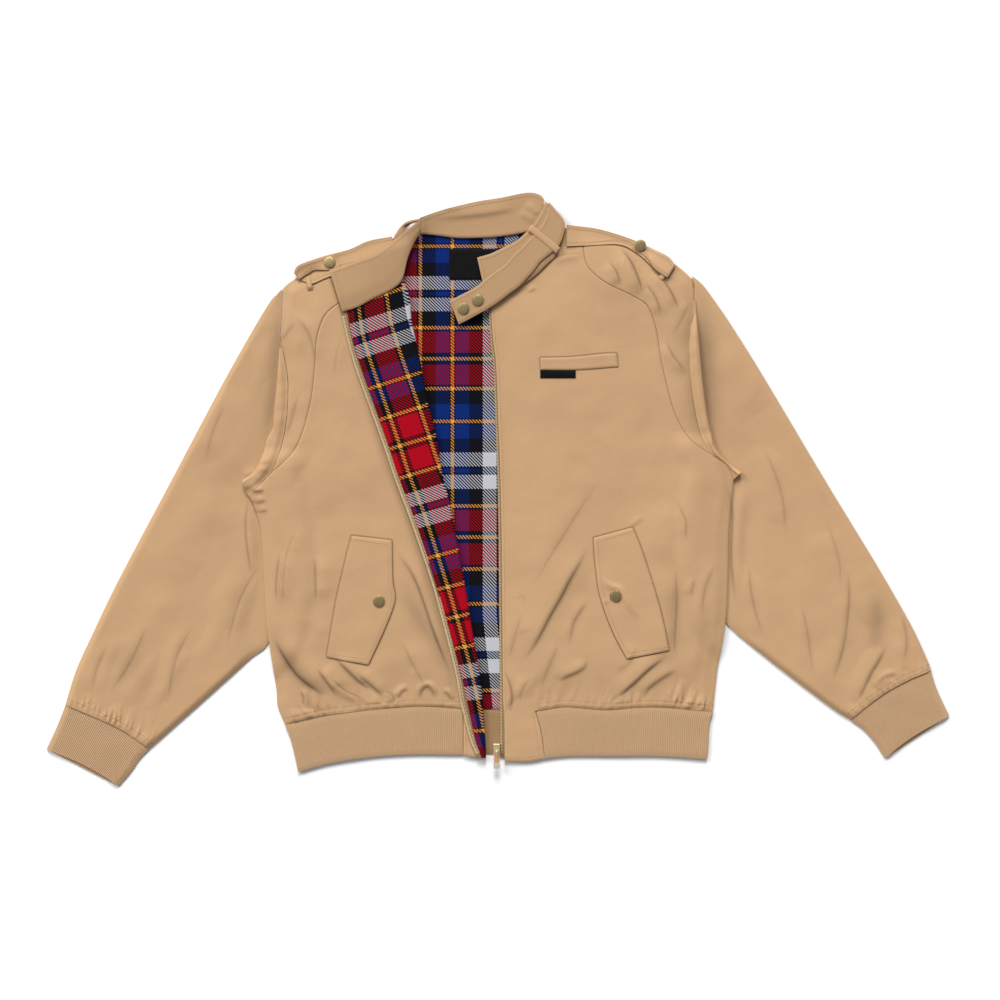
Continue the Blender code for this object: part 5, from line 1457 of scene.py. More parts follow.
def sleeve(side):
    rows, across = 280, graded(150, 2.2)
    outer_edge, inner_edge = [curve(side.edges[f"sleeve_{edge}"], rows) for edge in ("outer", "inner")]
    start = ruled(outer_edge[:1], inner_edge[:1], across)[0]
    end = curve(side.edges["cuff_seam"], across)
    outer_edge[-1], inner_edge[-1] = end[0], end[-1]

    def relief(p):
        free = smooth(distance(p, side.body) / SLEEVE_RAMP[0])
        lying = (fold_rise(p) + swells(p, *SLEEVE_SWELLS)) * free
        return np.maximum(lying, CUFF_GATHERS * gathers(p, side.cuff, CUFF_SEED))

    plan = seamed(patch(outer_edge, inner_edge, start, end, across), first=-1.5)
    outer, inner = tube(plan, side.sleeve_top, CLOTH, relief)
    piece = wall(f"{side.name}_sleeve", outer, inner, COTTON, ring=True, covers=side.covers)
    cut_from(piece, closed(outer))


# %% [markdown]
# ## Ribbed cuffs
# A rib knit is a row of rounded ribs with narrow grooves. A bump in the finish could show them, but they also
# catch the light at the outline, so each rib is a real shape: four columns of points, one in the groove and
# three over the rib.

# %% Ribs and cuffs
RIB_PITCH, RIB_POINTS, RIB_RISE, RIB_ROUND = 2.6, 4, 0.6, 0.6


def rib_wave(columns):
    """Rounded ribs with narrow grooves between them, one to each few columns."""
    return np.abs(np.sin(np.pi * np.arange(columns) / RIB_POINTS)) ** RIB_ROUND


def cuff(side):
    ribs = round(length_of(side.cuff) / RIB_PITCH)
    across, down = even(ribs * RIB_POINTS), even(16)
    edges = [curve(side.edges[f"cuff_{edge}"], down) for edge in ("outer", "inner")]
    seam, end = curve(side.edges["cuff_seam"], across), curve(side.edges["cuff_end"], across)
    edges[0][0], edges[1][0], end[0], end[-1] = seam[0], seam[-1], edges[0][-1], edges[1][-1]
    plan = seamed(patch(*edges, seam, end, across))

    def relief(p):
        return RIB_RISE * rib_wave(p.shape[1])[None, :] + 0.6 * ripple(p, 30, 3.1)

    outer, inner = tube(plan, lambda p: CUFF_TOP + 0 * p[..., 0], CUFF_WALL, relief, under_steps=24)
    piece = wall(f"{side.name}_cuff", outer, inner, RIB_KNIT, ring=True)
    cut_from(piece, closed(outer))


for side in SIDES:
    sleeve_head(side)
    sleeve(side)
    cuff(side)

# %% [markdown]
# ## The hem
# The front's hem is a doubled rib that ends in a short woven piece, where the zip is sewn in. The rib is made
# as the cuff's. Both start on the hem's curve, so that the front above closes on them without a gap.


# %% The front's hem
RIGHT_FOOT = (-400, -300)


def hem(side):
    line = curve(side.edges["hem"], 600)
    past = side.past_band(line) > 0
    ribbed, plain = line[past], line[~past]
    ribs = round(length_of(ribbed) / RIB_PITCH)
    across, down = even(ribs * RIB_POINTS), even(16)
    seam, end = resampled(ribbed, across), curve(side.edges["rib_end"], across)
    rib_side, band_edge = curve(side.edges["rib_side"], down), curve(side.edges["band_edge"], down)
    rib_side[0], band_edge[0], rib_side[-1], band_edge[-1] = seam[0], seam[-1], end[0], end[-1]
    plan = seamed(patch(rib_side, band_edge, seam, end, across))
    wave = RIB_RISE * rib_wave(plan.shape[1])[None, :] + 0.5 * ripple(plan, 36, 7.7)
    outer = raised(plan, RIB_FLOOR + RIB + wave - rolled(plan))
    piece = wall(f"{side.name}_hem_rib", outer, raised(plan, RIB_FLOOR + 0 * wave), RIB_KNIT)
    cut_from(piece, outer)
    down, across = graded(65), graded(30, 2.0)
    front_edge = curve(side.edges["front_edge"], down)
    if side.name == "right":
        front_edge = turned_in(front_edge, RIGHT_FOOT, LAPEL_INSET)
    band_edge = curve(side.edges["band_edge"], down)
    seam, end = resampled(plain, across), curve(side.edges["band_end"], across)
    band_edge[0], seam[-1], end[0], end[-1] = seam[0], front_edge[0], band_edge[-1], front_edge[-1]
    plan = seamed(patch(band_edge, front_edge, seam, end, across), first=-0.5)

    def relief(p):
        return 0.5 * ripple(p, 18, 4.2) * smooth(reaches(p)[0] / 12)

    panel(f"{side.name}_hem_band", plan, lambda p: HEM_TOP + 0 * p[..., 0], CLOTH, COTTON,
          relief, sides=(0, 1, 1, 1))


for side in SIDES:
    hem(side)

# %% [markdown]
# ## The lapel
# The right front is turned back along a slanting fold, so its tartan lining comes up, and its zip tape lies
# at the outer edge on a strip of the shell. The stripes run along the zip and not along the fold, as they
# were cut, so the UV map measures from the tape's edge.

# %% The lapel
# Across and down, where the tartan's repeat starts, how much it is stretched and how much it leans.
TAPE_MARK, TOP_MARK, TOP_FADE, LAPEL_MARK, LAPEL_STRETCH, LAPEL_LEAN = 14.4, 3.0, 50, 449.5, 1.012, 0.17
LAPEL_ROUND, LAPEL_PUFF = 14, 0.9


def lapel(side):
    rows = 210
    fold, tartan, tape = [curve(table, rows) for table in (LAPEL_FOLD, TARTAN_EDGE, ZIP_EDGE)]
    edge = turned_in(tartan, LEFTWARDS, SEAM_GAP)
    lines = np.stack([fold, edge], axis=1)
    inset = np.array([along(list(line), TURNBACK_INSET) for line in lines])
    shell = ruled(turned_in(tape, LEFTWARDS, TAPE_OVERHANG), inset, even(12))
    panel("right_turnback", shell, lambda p: side.top(p) + SHELL_RISE, TURNBACK, COTTON)
    tape_plan = seamed(ruled(tape, tartan, graded(9, 1.5)))
    panel("right_zip_tape", tape_plan, lambda p: side.top(p) + LINING_RISE, TAPE,
          TAPE_WEAVE)
    widths = np.linalg.norm(fold - edge, axis=1)

    def face(p):
        away = smooth(np.minimum(distance(p, tartan), distance(p, fold)) / LAPEL_ROUND)
        swell = LAPEL_PUFF + 1.1 * ripple(p, 46, 5.9) + 0.25 * ripple(p, 15, 1.9)
        return side.top(p) + LINING_RISE + away * swell

    outer, inner, reach = folded(lines, widths, np.full(rows + 1, LAPEL_TUCK), face,
                                 lambda p: side.top(p) - CLOTH - TUCK_GAP - LINING, LINING, (26, 8, 3))
    down = np.concatenate([[0], np.cumsum(np.linalg.norm(np.diff(edge, axis=0), axis=1))])
    mark = np.interp(-plan_point(0, LAPEL_MARK)[1], -edge[:, 1], down)
    across = widths[:, None] - reach
    first = TAPE_MARK + TOP_MARK * np.exp(-down[:, None] / TOP_FADE)
    uv = np.stack([first - across, (mark - down[:, None]) * LAPEL_STRETCH + LAPEL_LEAN * across], axis=-1)
    piece = wall("right_front_lining", outer, inner, TARTAN_FRONT, uv=uv)
    cut_from(piece, outer)


lapel(right)

# %% [markdown]
# ## The left zip tape
# The left half of the zip lies flat along the front's edge. Its tape is an even woven band, so it is its
# edge's curve, set over by the tape's width.


# %% The left zip tape
def left_zip_tape():
    edge = curve(LEFT_ZIP_EDGE, 200)
    plan = ruled(edge, turned_in(edge, LEFTWARDS, LEFT_TAPE_WIDTH), graded(14, 2))
    panel("left_zip_tape", plan, lambda p: LEFT_TAPE_TOP + 0 * p[..., 0], TAPE, TAPE_WEAVE)


left_zip_tape()

# %% [markdown]
# ## The stand collar
# The collar is a doubled band that falls over when the jacket lies on its back. One twisting strip would do,
# but its three thirds lie on different things: the lapel, the lining and the left front. So each is a sheet
# of its own, with its own rule of height.


# %% The collar
LEFT_STEEP, RIGHT_STEEP, RIGHT_LEAN, BACK_CURL = 0.3, 0.4, 3.5, 1.2


def collar():

    def left_seam(p):
        return left.top(p) + LAY_GAP + COLLAR

    down, across = even(60), graded(58)
    def right_height(p, u, v):
        seat = right.top(p) + LINING_RISE + LAY_GAP + COLLAR
        return seat + COLLAR_LIFT * smooth(v / RIGHT_STEEP) + RIGHT_LEAN * v

    def back_height(p, u, v):
        return LINING_TOP + LAY_GAP + COLLAR + COLLAR_STAND * v ** BACK_CURL + fold_rise(p)

    def left_height(p, u, v):
        return left_seam(p) + (COLLAR_LEFT_HEIGHT - left_seam(p)) * smooth(v / LEFT_STEEP)

    plan = ruled(curve(COLLAR_RIGHT_NECK, down), curve(COLLAR_RIGHT_TOP, down), across)
    sheet("collar_right", plan, COLLAR, SHADED_COTTON, right_height)
    plan = ruled(curve(COLLAR_BACK_NECK, down), curve(COLLAR_BACK_TOP, down), graded(45))
    sheet("collar_back", plan, COLLAR, COTTON, back_height)
    plan = ruled(curve(COLLAR_LEFT_NECK, down), curve(COLLAR_LEFT_TOP, down), across)
    sheet("collar_left", plan, COLLAR, SHADED_COTTON, left_height)


collar()


# %% [markdown]
# ## The throat strap
# A strap holds the collar closed, and goes back through a small loop when it isn't in use. It lies over the
# collar's left third and on behind it. The loop is a strip of even width round a straight line, with its ends
# bent down over the strap.


# %% The strap and its keeper
def ribbon(centre, width, across):
    run = centre[1] - centre[0]
    far = 1000 * np.array([-run[1], run[0]]) / math.hypot(*run)
    return ruled(*[turned_in(centre, centre[0] + far * way, width / 2) for way in (1, -1)], across)


def straight(points, steps):
    a, b = np.array(points, float)
    return a + (b - a) * even(steps)[:, None]


STRAP_CENTRE = (curve(STRAP_UPPER, 60) + curve(STRAP_LOWER, 60)) / 2


def strap_height(p):
    reach = nearest(p, STRAP_CENTRE)[2] / length_of(STRAP_CENTRE)
    return STRAP_TOP - STRAP_DROP * smooth(1 - reach / STRAP_DROPPED)


def strap():
    down = graded(200)
    plan = ruled(curve(STRAP_UPPER, down), curve(STRAP_LOWER, down), graded(33))
    sheet("throat_strap", plan, STRAP, SHADED_COTTON, lambda p, u, v: strap_height(p))
    foot_x, foot_ramp = STRAP_FOOT
    behind = ruled(curve(STRAP_BACK_OUTER, 60), curve(STRAP_BACK_INNER, 60), graded(12, 2))
    sheet("strap_back", behind, STRAP, SHADED_COTTON,
          lambda p, u, v: STRAP + STRAP_RISE * smooth((foot_x - p[..., 0]) / foot_ramp))
    over = STRAP_TOP + LAY_GAP + LINING
    loop = ribbon(straight(STRAP_KEEPER, 30), KEEPER_WIDTH, graded(9, 1.2))
    sheet("strap_keeper", loop, LINING, COTTON,
          lambda p, u, v: over - SEAM_GAP * (1 - smooth((0.5 - abs(u - 0.5)) / 0.13)))


strap()

# %% [markdown]
# ## The epaulettes
# An epaulette runs out towards the sleeve through a small loop, and is folded back over it, with a snap on
# top. So it is one folded strip: the lower leg goes to the cloth under the loop, and the upper leg has a hump
# over it.


# %% The epaulettes and their keepers
EPAULETTE_EDGE = 1.6


def epaulette(side):
    over, low, high = [curve(side.edges[f"epaulette_{edge}"], 60) for edge in ("over", "low", "high")]
    shares = graded(30, 2)
    rows = [over * (1 - w) + high * w for w in shares]
    under_rows = [low * (1 - w) + high * w for w in shares]
    bar = EPAULETTE_GAP + CLOTH + LAY_GAP + LINING
    end = np.array(side.edges["epaulette_keeper"][1], float)

    def face(p):
        away = smooth((np.linalg.norm(p - end, axis=-1) - EPAULETTE_RAMP) / EPAULETTE_RAMP)
        edge = np.minimum(distance(p, rows[0]), distance(p, rows[-1]))
        roll = 0.8 * np.exp(-(edge / EPAULETTE_EDGE) ** 2)
        return side.top(p) + bar + EPAULETTE_GAP + CLOTH - (LINING + EPAULETTE_GAP) * away - roll

    outer, inner, _ = folded(rows, np.full(len(rows), side.edges["epaulette_back"]),
                             [length_of(row) for row in under_rows], face,
                             lambda p: side.top(p) + EPAULETTE_GAP, CLOTH, (24, 8, 60), under_rows)
    piece = wall(f"{side.name}_epaulette", outer, inner, COTTON)
    cut_from(piece, outer)
    loop = ribbon(straight(side.edges["epaulette_keeper"], 20), EPAULETTE_KEEPER_WIDTH, graded(7, 1.2))
    sheet(f"{side.name}_epaulette_keeper", loop, LINING, COTTON,
          lambda p, u, v: side.top(p) + bar - (CLOTH + LAY_GAP) * smooth(1 - 4 * u))
    return face


epaulette_faces = {side.name: epaulette(side) for side in SIDES}

# %% [markdown]
# ## Flaps, welt and labels
# What is sewn on a front follows that front's swells and creases, so each of these asks for the height under
# it. A flap lies close at its sewn edge and stands off at its free edges. A shrinkwrap would press it flat
# all over.


# %% The pocket flaps
FLAP_LIFT = 0.9


def flap_gap(u, v):
    """A flap lies closer to the front along its sewn edge than along its free edges."""
    return FLAP_GAP * (1 + FLAP_LIFT * smooth(np.minimum(v * 3, 1)))


def pocket_flap(side):
    down, across = graded(165), graded(60)
    plan = ruled(curve(side.edges["flap_sewn"], down), curve(side.edges["flap_free"], down), across)
    sheet(f"{side.name}_pocket_flap", plan, CLOTH, COTTON,
          lambda p, u, v: side.face(p) + flap_gap(u, v) + CLOTH)


for side in SIDES:
    pocket_flap(side)


# %% The chest pocket and the labels
WELT_RISE, WELT_LIP = 1.5, 0.4


def oblong(corners, down, across):
    (x0, y0), (x1, y1) = corners
    x = (x0 + (x1 - x0) * np.asarray(down))[:, None]
    first, last = np.concatenate([x, x * 0 + y0], axis=1), np.concatenate([x, x * 0 + y1], axis=1)
    return ruled(first, last, across)


def chest(side):
    plan = ruled(curve(WELT_SEWN, graded(102)), curve(WELT_FREE, graded(102)), graded(17, 2))
    sheet("chest_welt", plan, CLOTH, COTTON,
          lambda p, u, v: side.face(p) + WELT_RISE + WELT_LIP * smooth((v - 0.4) / 0.5))
    sheet("chest_label", oblong(CHEST_LABEL, graded(47, 3), graded(11, 2)), LINING, WOVEN_LABEL,
          lambda p, u, v: side.face(p) + FLAP_GAP + LINING)


chest(left)
sheet("neck_label", oblong(NECK_LABEL, graded(52, 3), graded(41, 3)), LABEL, WOVEN_LABEL,
      lambda p, u, v: LINING_TOP + LAY_GAP + LABEL + 0 * u)

# %% [markdown]
# ## Snaps
# A snap's cap is a thin disc of brass, pressed to a low dome with a groove inside its rim. The Screw modifier
# could turn its profile, but a cap also tilts with the cloth, so its rings are made in that tilt, and it is
# lifted until its rim is clear.

# %% Snaps
# The cap's profile: radius as a share of the cap's own, and height in millimetres.
CAP_PROFILE = [(0, 2.1), (0.2, 2.09), (0.4, 2.05), (0.6, 1.96), (0.75, 1.85), (0.84, 1.72), (0.88, 1.62),
               (0.92, 1.68), (0.96, 1.6), (1.0, 1.2), (1.0, 0.25), (0.97, 0), (0, 0)]
CAP_STEPS = 48


def snap(name, place, height):
    centre = np.array(place, float)
    dx, dy = np.array([SNAP_RADIUS, 0]), np.array([0, SNAP_RADIUS])
    normal = np.array([height(centre - dx) - height(centre + dx), height(centre - dy) - height(centre + dy),
                       2 * SNAP_RADIUS], float)
    normal /= np.linalg.norm(normal)
    angles = np.arange(8) * math.pi / 4
    ring = centre + np.stack([np.cos(angles), np.sin(angles)], axis=1) * SNAP_RADIUS
    lift = max(0, (height(ring) - height(centre) + (ring - centre) @ normal[:2] / normal[2]).max())
    turn = Vector((0, 0, 1)).rotation_difference(Vector(normal)).to_matrix()
    seat = Vector((centre[0], centre[1], height(centre) + lift + SEAM_GAP))
    form = bmesh.new()
    rings = []
    for r, z in CAP_PROFILE:
        angles = [0] if r == 0 else [2 * math.pi * k / CAP_STEPS for k in range(CAP_STEPS)]
        spots = [Vector((math.cos(a) * r * SNAP_RADIUS, math.sin(a) * r * SNAP_RADIUS, z)) for a in angles]
        rings.append([form.verts.new((turn @ spot + seat) * MM) for spot in spots])
    for a, b in zip(rings, rings[1:]):
        for k in range(CAP_STEPS):
            m = (k + 1) % CAP_STEPS
            if len(a) == 1:
                form.faces.new((a[0], b[k], b[m]))
            elif len(b) == 1:
                form.faces.new((a[k], b[0], a[m]))
            else:
                form.faces.new((a[k], b[k], b[m], a[m]))
    bmesh.ops.recalc_face_normals(form, faces=form.faces)
    mesh = bpy.data.meshes.new(name)
    form.to_mesh(mesh)
    form.free()
    return dressed(name, mesh, BRASS, "cap")


for side in SIDES:
    snap(f"{side.name}_pocket_snap", side.edges["pocket_snap"],
         lambda p: side.face(p) + (1 + FLAP_LIFT) * FLAP_GAP + CLOTH)
    snap(f"{side.name}_shoulder_snap", side.edges["shoulder_snap"], epaulette_faces[side.name])
for name, place in STRAP_SNAPS.items():
    snap(name, place, strap_height)

# %% [markdown]
# ## Topstitching and the zip's coil
# A seam on such a jacket is pressed to one side and sewn down again from the outside, which leaves a row of
# short stitches a few millimetres from the edge. Here a plan line is laid down on the finished cloth, and
# Geometry Nodes sets one small rounded stitch after another along it. The same tree sets the coil of the
# zip. Thousands of copies placed by hand or by an array would not follow the folds of the cloth.

# %% Lines laid on the cloth
SKINS = {}


def dropped(name, line, step=1.5, lift=0.12):
    """A plan line laid on the upper face of a piece: chains of points in metres."""
    if name not in SKINS:
        SKINS[name] = BVHTree.FromObject(bpy.data.objects[name], bpy.context.evaluated_depsgraph_get())
    chains = [[]]
    for x, y in resampled(line, even(max(2, round(length_of(line) / step)))) * MM:
        met = SKINS[name].ray_cast(Vector((x, y, 0.1)), Vector((0, 0, -1)))[0]
        if met is None:
            chains.append([])
        else:
            chains[-1].append(met + Vector((0, 0, lift * MM)))
    return [chain for chain in chains if len(chain) > 2]


def free_edges(sewn, free, amount):
    """A line inside the free edges of a piece that is sewn down along its other edge."""
    edge = turned_in(free, (sewn[len(sewn) // 2] + free[len(free) // 2]) / 2, amount)
    down = np.concatenate([[0], np.cumsum(np.linalg.norm(np.diff(edge, axis=0), axis=1))])
    kept = edge[(down > amount) & (down < down[-1] - amount)]
    return np.vstack([along(list(sewn), amount), kept, along(list(sewn[::-1]), amount)])


def pixel_line(*places):
    return np.array([plan_point(x, y) for x, y in places])


# %% [markdown]
# ## One small part after another
# The tree spaces points along each chain and sets a small flattened ball on each, turned along the line. Its
# sizes are inputs, so one tree makes every row of small things. A random scale with a fixed seed makes them a
# little uneven.


# %% The tree that sets small parts along a line
# The smallest and the largest part, as shares of the given size, and the seed.
LEAST, MOST, SEED = 0.9, 1.08, 7
BALL = {"Segments": 6, "Rings": 4, "Radius": 0.5}


def small_parts():
    group = bpy.data.node_groups.new("small_parts_along_lines", "GeometryNodeTree")
    kinds = {"line": "Geometry", "pitch": "Float", "length": "Float", "width": "Float", "height": "Float",
             "seed": "Int", "finish": "Material"}
    sockets = {}
    for size, kind in kinds.items():
        made = group.interface.new_socket(size, in_out="INPUT", socket_type=f"NodeSocket{kind}")
        sockets[size] = made.identifier
    group.interface.new_socket("parts", in_out="OUTPUT", socket_type="NodeSocketGeometry")
    given = group.nodes.new("NodeGroupInput").outputs
    line = add(group, "GeometryNodeMeshToCurve", {"Mesh": given["line"]}).outputs[0]
    spaced = add(group, "GeometryNodeResampleCurve", {"Curve": line, "Length": given["pitch"]}, mode="LENGTH")
    run = add(group, "GeometryNodeInputTangent").outputs[0]
    turned = add(group, "FunctionNodeAlignRotationToVector", {"Vector": run}, axis="X").outputs[0]
    uneven = add(group, "FunctionNodeRandomValue", {2: LEAST, 3: MOST, "Seed": given["seed"]},
                 data_type="FLOAT")
    size = add(group, "ShaderNodeCombineXYZ", {0: given["length"], 1: given["width"], 2: given["height"]})
    size = scaled(group, size.outputs[0], uneven.outputs[1])
    part = add(group, "GeometryNodeMeshUVSphere", BALL).outputs[0]
    parts = add(group, "GeometryNodeInstanceOnPoints",
                {"Points": spaced.outputs[0], "Instance": part, "Rotation": turned, "Scale": size}).outputs[0]
    real = add(group, "GeometryNodeRealizeInstances", {0: parts}).outputs[0]
    coloured = add(group, "GeometryNodeSetMaterial", {"Geometry": real, "Material": given["finish"]})
    group.links.new(coloured.outputs[0], group.nodes.new("NodeGroupOutput").inputs[0])
    return group, sockets


SMALL_PARTS, PART_SOCKETS = small_parts()


def set_along(name, chains, finish, kind, **sizes):
    """Small parts along chains of points, as one plain mesh. Sizes are in millimetres."""
    points = [point for chain in chains for point in chain]
    ends = np.cumsum([len(chain) for chain in chains]) - 1
    edges = [(k, k + 1) for k in range(len(points) - 1) if k not in set(ends)]
    mesh = bpy.data.meshes.new(f"{name}_line")
    mesh.from_pydata(points, edges, [])
    guide = bpy.data.objects.new(f"{name}_line", mesh)
    bpy.context.scene.collection.objects.link(guide)
    modifier = guide.modifiers.new("parts", "NODES")
    modifier.node_group = SMALL_PARTS
    for size, value in sizes.items():
        modifier[PART_SOCKETS[size]] = value * MM
    modifier[PART_SOCKETS["seed"]] = SEED
    modifier[PART_SOCKETS["finish"]] = finish
    bpy.context.view_layer.update()
    made = bpy.data.meshes.new_from_object(guide.evaluated_get(bpy.context.evaluated_depsgraph_get()))
    made.name = name
    bpy.data.objects.remove(guide)
    return dressed(name, made, finish, kind)


# %% [markdown]
# ## Where the jacket is topstitched
# Each edge that was turned under is stitched down, 5 mm in along a flap, and close beside the seam where a
# piece is sewn on. A texture of dashes would lie flat, but real stitches sit proud and catch the light, so
# each is a shape.

# %% Topstitching of each side
EDGE_STITCH, NARROW_STITCH, TAB_STITCH, COLLAR_STITCH = 5.0, 1.2, 4.2, 4.5
OPENING_STITCH, STRAP_STITCH = 3.4, 3.6


def side_stitches(side):
    over_rib, cuff_way = side.past_band(side.hem) > 0, side.cuff.mean(axis=0) * 0.8
    sewn, free = curve(side.edges["flap_sewn"], 120), curve(side.edges["flap_free"], 120)
    over, low, high = [curve(side.edges[f"epaulette_{edge}"], 80) for edge in ("over", "low", "high")]
    loop, inset = np.array(side.edges["epaulette_keeper"], float), EPAULETTE_KEEPER_WIDTH / 2 - NARROW_STITCH
    return {f"{side.name}_front": [turned_in(side.hem[over_rib], (0, 400), SEAM_STITCH)],
            f"{side.name}_sleeve": [turned_in(side.cuff, cuff_way, SEAM_STITCH)],
            f"{side.name}_pocket_flap": [free_edges(sewn, free, EDGE_STITCH),
                                         turned_in(sewn, free[60], NARROW_STITCH)],
            f"{side.name}_epaulette": [turned_in(over[2:], high[40], TAB_STITCH),
                                       turned_in(low[2:], high[40], TAB_STITCH),
                                       turned_in(high[2:-2], low[40], TAB_STITCH)],
            f"{side.name}_epaulette_keeper": [turned_in(loop, loop[0] + way * 50 * np.array([1, 0.3]), inset)
                                              for way in (-1, 1)]}


# %% Topstitching of the opening, the collar and the strap
def middle_stitches():
    right_neck, right_top = curve(COLLAR_RIGHT_NECK, 120), curve(COLLAR_RIGHT_TOP, 120)
    back_neck, back_top = curve(COLLAR_BACK_NECK, 120), curve(COLLAR_BACK_TOP, 120)
    left_neck, left_top = curve(COLLAR_LEFT_NECK, 120), curve(COLLAR_LEFT_TOP, 120)
    upper, lower = curve(STRAP_UPPER, 160), curve(STRAP_LOWER, 160)
    sewn, free = curve(WELT_SEWN, 60), curve(WELT_FREE, 60)
    return {"left_front": [turned_in(left.opening, LEFTWARDS, OPENING_STITCH)],
            "left_hem_band": [pixel_line((504.3, 711), (504.5, 730), (504.6, 758)),
                              pixel_line((533, 712), (536, 730), (539, 754)),
                              pixel_line((506, 757), (522, 757.5), (539, 755))],
            "right_hem_band": [pixel_line((466, 713), (466, 730), (466, 752))],
            "collar_right": [turned_in(right_top[4:], right_neck[60], COLLAR_STITCH),
                             ruled(right_neck[:1], right_top[:1], even(20))[0] + (5.5, 1),
                             turned_in(right_neck[4:-4], right_top[60], NARROW_STITCH)],
            "collar_back": [turned_in(back_top[4:-4], back_neck[60], COLLAR_STITCH),
                            turned_in(back_neck[2:-2], back_top[60], NARROW_STITCH)],
            "collar_left": [turned_in(left_top[4:], left_neck[60], COLLAR_STITCH),
                            ruled(left_neck[:1], left_top[:1], even(20))[0] + (4.5, 1)],
            "throat_strap": [turned_in(upper[2:], lower[80], STRAP_STITCH),
                             turned_in(lower[2:], upper[80], STRAP_STITCH),
                             ruled(upper[:1], lower[:1], even(12))[0][1:-1] + (3.2, 1.4)],
            "chest_welt": [turned_in(sewn[1:-1], free[30], NARROW_STITCH),
                           ruled(sewn[-1:], free[-1:], even(8))[0] - (NARROW_STITCH, 0)]}


def laid(lines, *how):
    """Chains of points for lines in the plan, each laid on the piece that it is given for."""
    return [chain for piece, rows in lines.items() for line in rows
            for chain in dropped(f"{piece}_cloth", line, *how)]


stitches = laid(side_stitches(right)) + laid(side_stitches(left)) + laid(middle_stitches())
set_along("topstitching", stitches, THREAD_AND_SHADE, "thread", pitch=3.6, length=2.5, width=0.8, height=0.6)

# %% [markdown]
# ## The zip's coil
# This zip is closed by a coil and not by teeth: a moulded thread wound over the edge of each tape, about 2 mm
# from turn to turn. From above each turn shows as a short bar across, so a bar for each looks the same and
# needs far fewer faces.

# %% The coil
right_edge, left_edge = curve(ZIP_EDGE, 200)[2:-2], curve(LEFT_ZIP_EDGE, 200)[2:-2]
coil = laid({"right_zip_tape": [turned_in(right_edge, LEFTWARDS, 4.9)],
             "left_zip_tape": [turned_in(left_edge, LEFTWARDS, 1.7)]}, 3.0, 0.3)
set_along("zip_coil", coil, COIL, "plastic", pitch=1.95, length=1.15, width=3.0, height=1.5)

# %% [markdown]
# ## Cords that paint shade, and the tape's cords
# In three more rows the small parts touch, so that they read as a thread: a cord in each armhole's seam,
# which closes the gap there and paints the seam's dark line of shade, a line that paints the shade where an
# epaulette and a cuff are folded, and the cords of the zip's tape. A swept tube would do, but these follow
# the cloth by the same tool.

# %% A cord in each armhole's seam, dark as painted shade
seam_shade_cord = []
# A darker cord closes the gap in each armhole's seam and paints the seam's shade.
for name, shift, line in (
        ("right", -1.5, pixel_line((282.3, 287.5), (281.8, 310), (280.8, 330), (281.5, 343), (285, 353))),
        ("left", 1.7, pixel_line((690.5, 280), (692.0, 290), (691.4, 305), (690.2, 318), (689.2, 330)))):
    chains, aside = laid({f"{name}_shoulder_panel": [line]}, 3.0, -0.1), Vector((shift * MM, 0, 0))
    seam_shade_cord += [[point + aside for point in chain] for chain in chains]
set_along("armhole_piping", seam_shade_cord, THREAD_AND_SHADE, "thread", pitch=2.0, length=3.0, width=2.6, height=0.6)

# %% Lines of painted shade at two folds, and the cords of the tape
# Dark threads along the fold of the right epaulette and of the right cuff paint the shade there.
edges = laid({"right_epaulette": [pixel_line((360, 255.5), (361, 260), (363, 266))],
              "right_cuff": [pixel_line((141, 748), (135, 757), (128, 767), (119, 781))]}, 2.0, -0.1)
set_along("folded_edge_thread", edges, THREAD_AND_SHADE, "thread", pitch=1.9, length=2.6, width=0.9, height=0.4)
cords = laid({"right_zip_tape": [turned_in(right_edge, LEFTWARDS, inset) for inset in (0.9, 2.3)]}, 3.0, 0.2)
set_along("zip_tape_cord", cords, COIL, "thread", pitch=1.6, length=2.2, width=1.3, height=0.9)

# %% [markdown]
# ## The camera
# The picture was taken from straight above, and from so far that the sleeves don't lean outwards. So the
# camera hangs high, and its lens shows 1.32 m of the floor.

# %% Camera
CAMERA_HEIGHT, CAMERA_X, CAMERA_Y = 3.2, 0.0033, -0.0132
SENSOR, SHOWN = 36.0, 1.32
camera_data = bpy.data.cameras.new("camera")
camera_data.sensor_width, camera_data.lens = SENSOR, SENSOR * CAMERA_HEIGHT / SHOWN
camera = bpy.data.objects.new("camera", camera_data)
camera.location = (CAMERA_X, CAMERA_Y, CAMERA_HEIGHT)
bpy.context.scene.collection.objects.link(camera)
bpy.context.scene.camera = camera
print("lens in mm:", round(camera_data.lens, 1))

# %% [markdown]
# ## Floor and light
# The floor is a smooth pale sheet, lit until it comes out white. The light comes from the top and the left of
# the picture, like two windows, and a weak even light fills the shade. A distant light with a wide angle is
# as strong all over a flat jacket.

# %% Floor
FLOOR = 6
floor_mesh = bpy.data.meshes.new("floor")
floor_mesh.from_pydata([(-FLOOR, -FLOOR, 0), (FLOOR, -FLOOR, 0), (FLOOR, FLOOR, 0), (-FLOOR, FLOOR, 0)], [],
                       [(0, 1, 2, 3)])
floor = bpy.data.objects.new("floor", floor_mesh)
floor_finish = bpy.data.materials.new("pale_floor")
floor_finish.use_nodes = True
floor_finish.node_tree.nodes["Principled BSDF"].inputs["Base Color"].default_value = srgb("#F4F4F4")
floor_finish.node_tree.nodes["Principled BSDF"].inputs["Roughness"].default_value = 0.9
floor_mesh.materials.append(floor_finish)
bpy.context.scene.collection.objects.link(floor)

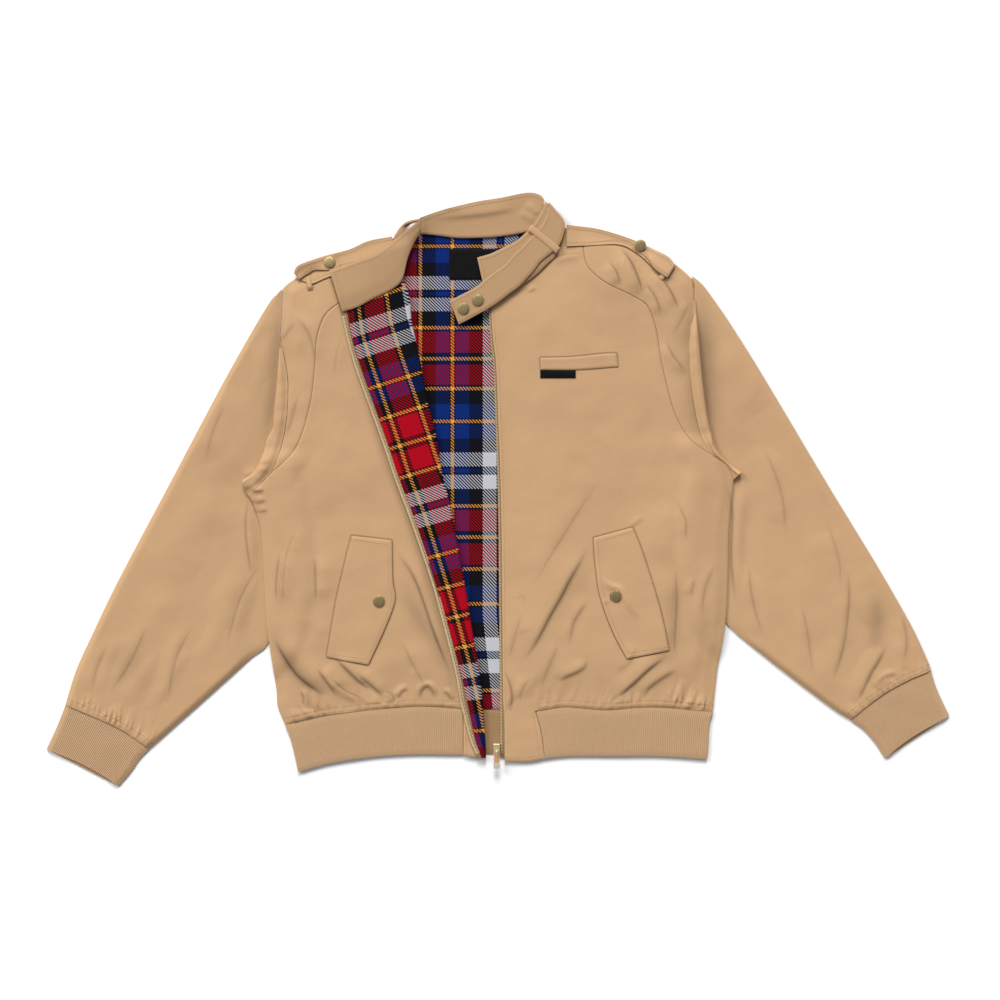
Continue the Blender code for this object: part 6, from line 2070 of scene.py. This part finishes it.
# %% Light
FILL = 0.32
world = bpy.data.worlds.new("studio")
world.use_nodes = True
world.node_tree.nodes["Background"].inputs["Color"].default_value = (1, 1, 1, 1)
world.node_tree.nodes["Background"].inputs["Strength"].default_value = FILL
bpy.context.scene.world = world
bpy.context.scene.view_settings.view_transform = "Standard"


def sun(name, towards, spread, strength):
    """A distant light of even strength, as soft as its spread in degrees."""
    data = bpy.data.lights.new(name, "SUN")
    data.angle, data.energy = math.radians(spread), strength
    light = bpy.data.objects.new(name, data)
    light.rotation_euler = Vector(towards).to_track_quat("-Z", "Y").to_euler()
    bpy.context.scene.collection.objects.link(light)


sun("top_window", (0.05, -1.35, -0.95), 24, 3.0)
sun("left_window", (1.0, -0.75, -0.85), 26, 1.65)
print("lights:", len(bpy.data.lights))

# %% [markdown]
# ## The slider and its pull tab
# The slider and its tab are so small and plain that their solids show all there is to see, so they keep them
# and only get their finishes. The metal plate at the tab's end is fitted round the tab's solid and rides on
# the tab, so it turns with it.

# %% The slider, its tab and the tab's tip
for name, finish_of in (("zip_slider", GOLD), ("zip_pull_tab", LEATHER)):
    solid = bpy.data.objects[name]
    for slot in solid.material_slots:
        slot.material = finish_of

tab = bpy.data.objects["zip_pull_tab"]
corners = np.array([tab.matrix_world @ Vector(corner) for corner in tab.bound_box])
low, high = corners.min(0), corners.max(0)
TIP_LENGTH, TIP_LEDGE, TIP_WALL, TIP_END, TIP_ROUND = 6.2, 1.0, 0.5, 0.4, 0.45
tip_low = np.array([low[0] - TIP_LEDGE * MM, low[1] - TIP_END * MM, low[2] - TIP_WALL * MM])
tip_high = np.array([high[0] + TIP_LEDGE * MM, low[1] + TIP_LENGTH * MM, high[2] + TIP_WALL * MM])
form = bmesh.new()
bmesh.ops.create_cube(form, size=1)
bmesh.ops.scale(form, vec=tip_high - tip_low, verts=form.verts)
bmesh.ops.translate(form, vec=(tip_low + tip_high) / 2, verts=form.verts)
bmesh.ops.bevel(form, geom=form.edges[:], offset=TIP_ROUND * MM, segments=2, affect="EDGES")
mesh = bpy.data.meshes.new("pull_tab_tip")
form.to_mesh(mesh)
form.free()
dressed("pull_tab_tip", mesh, SILVER, "metal", "pull_tab")
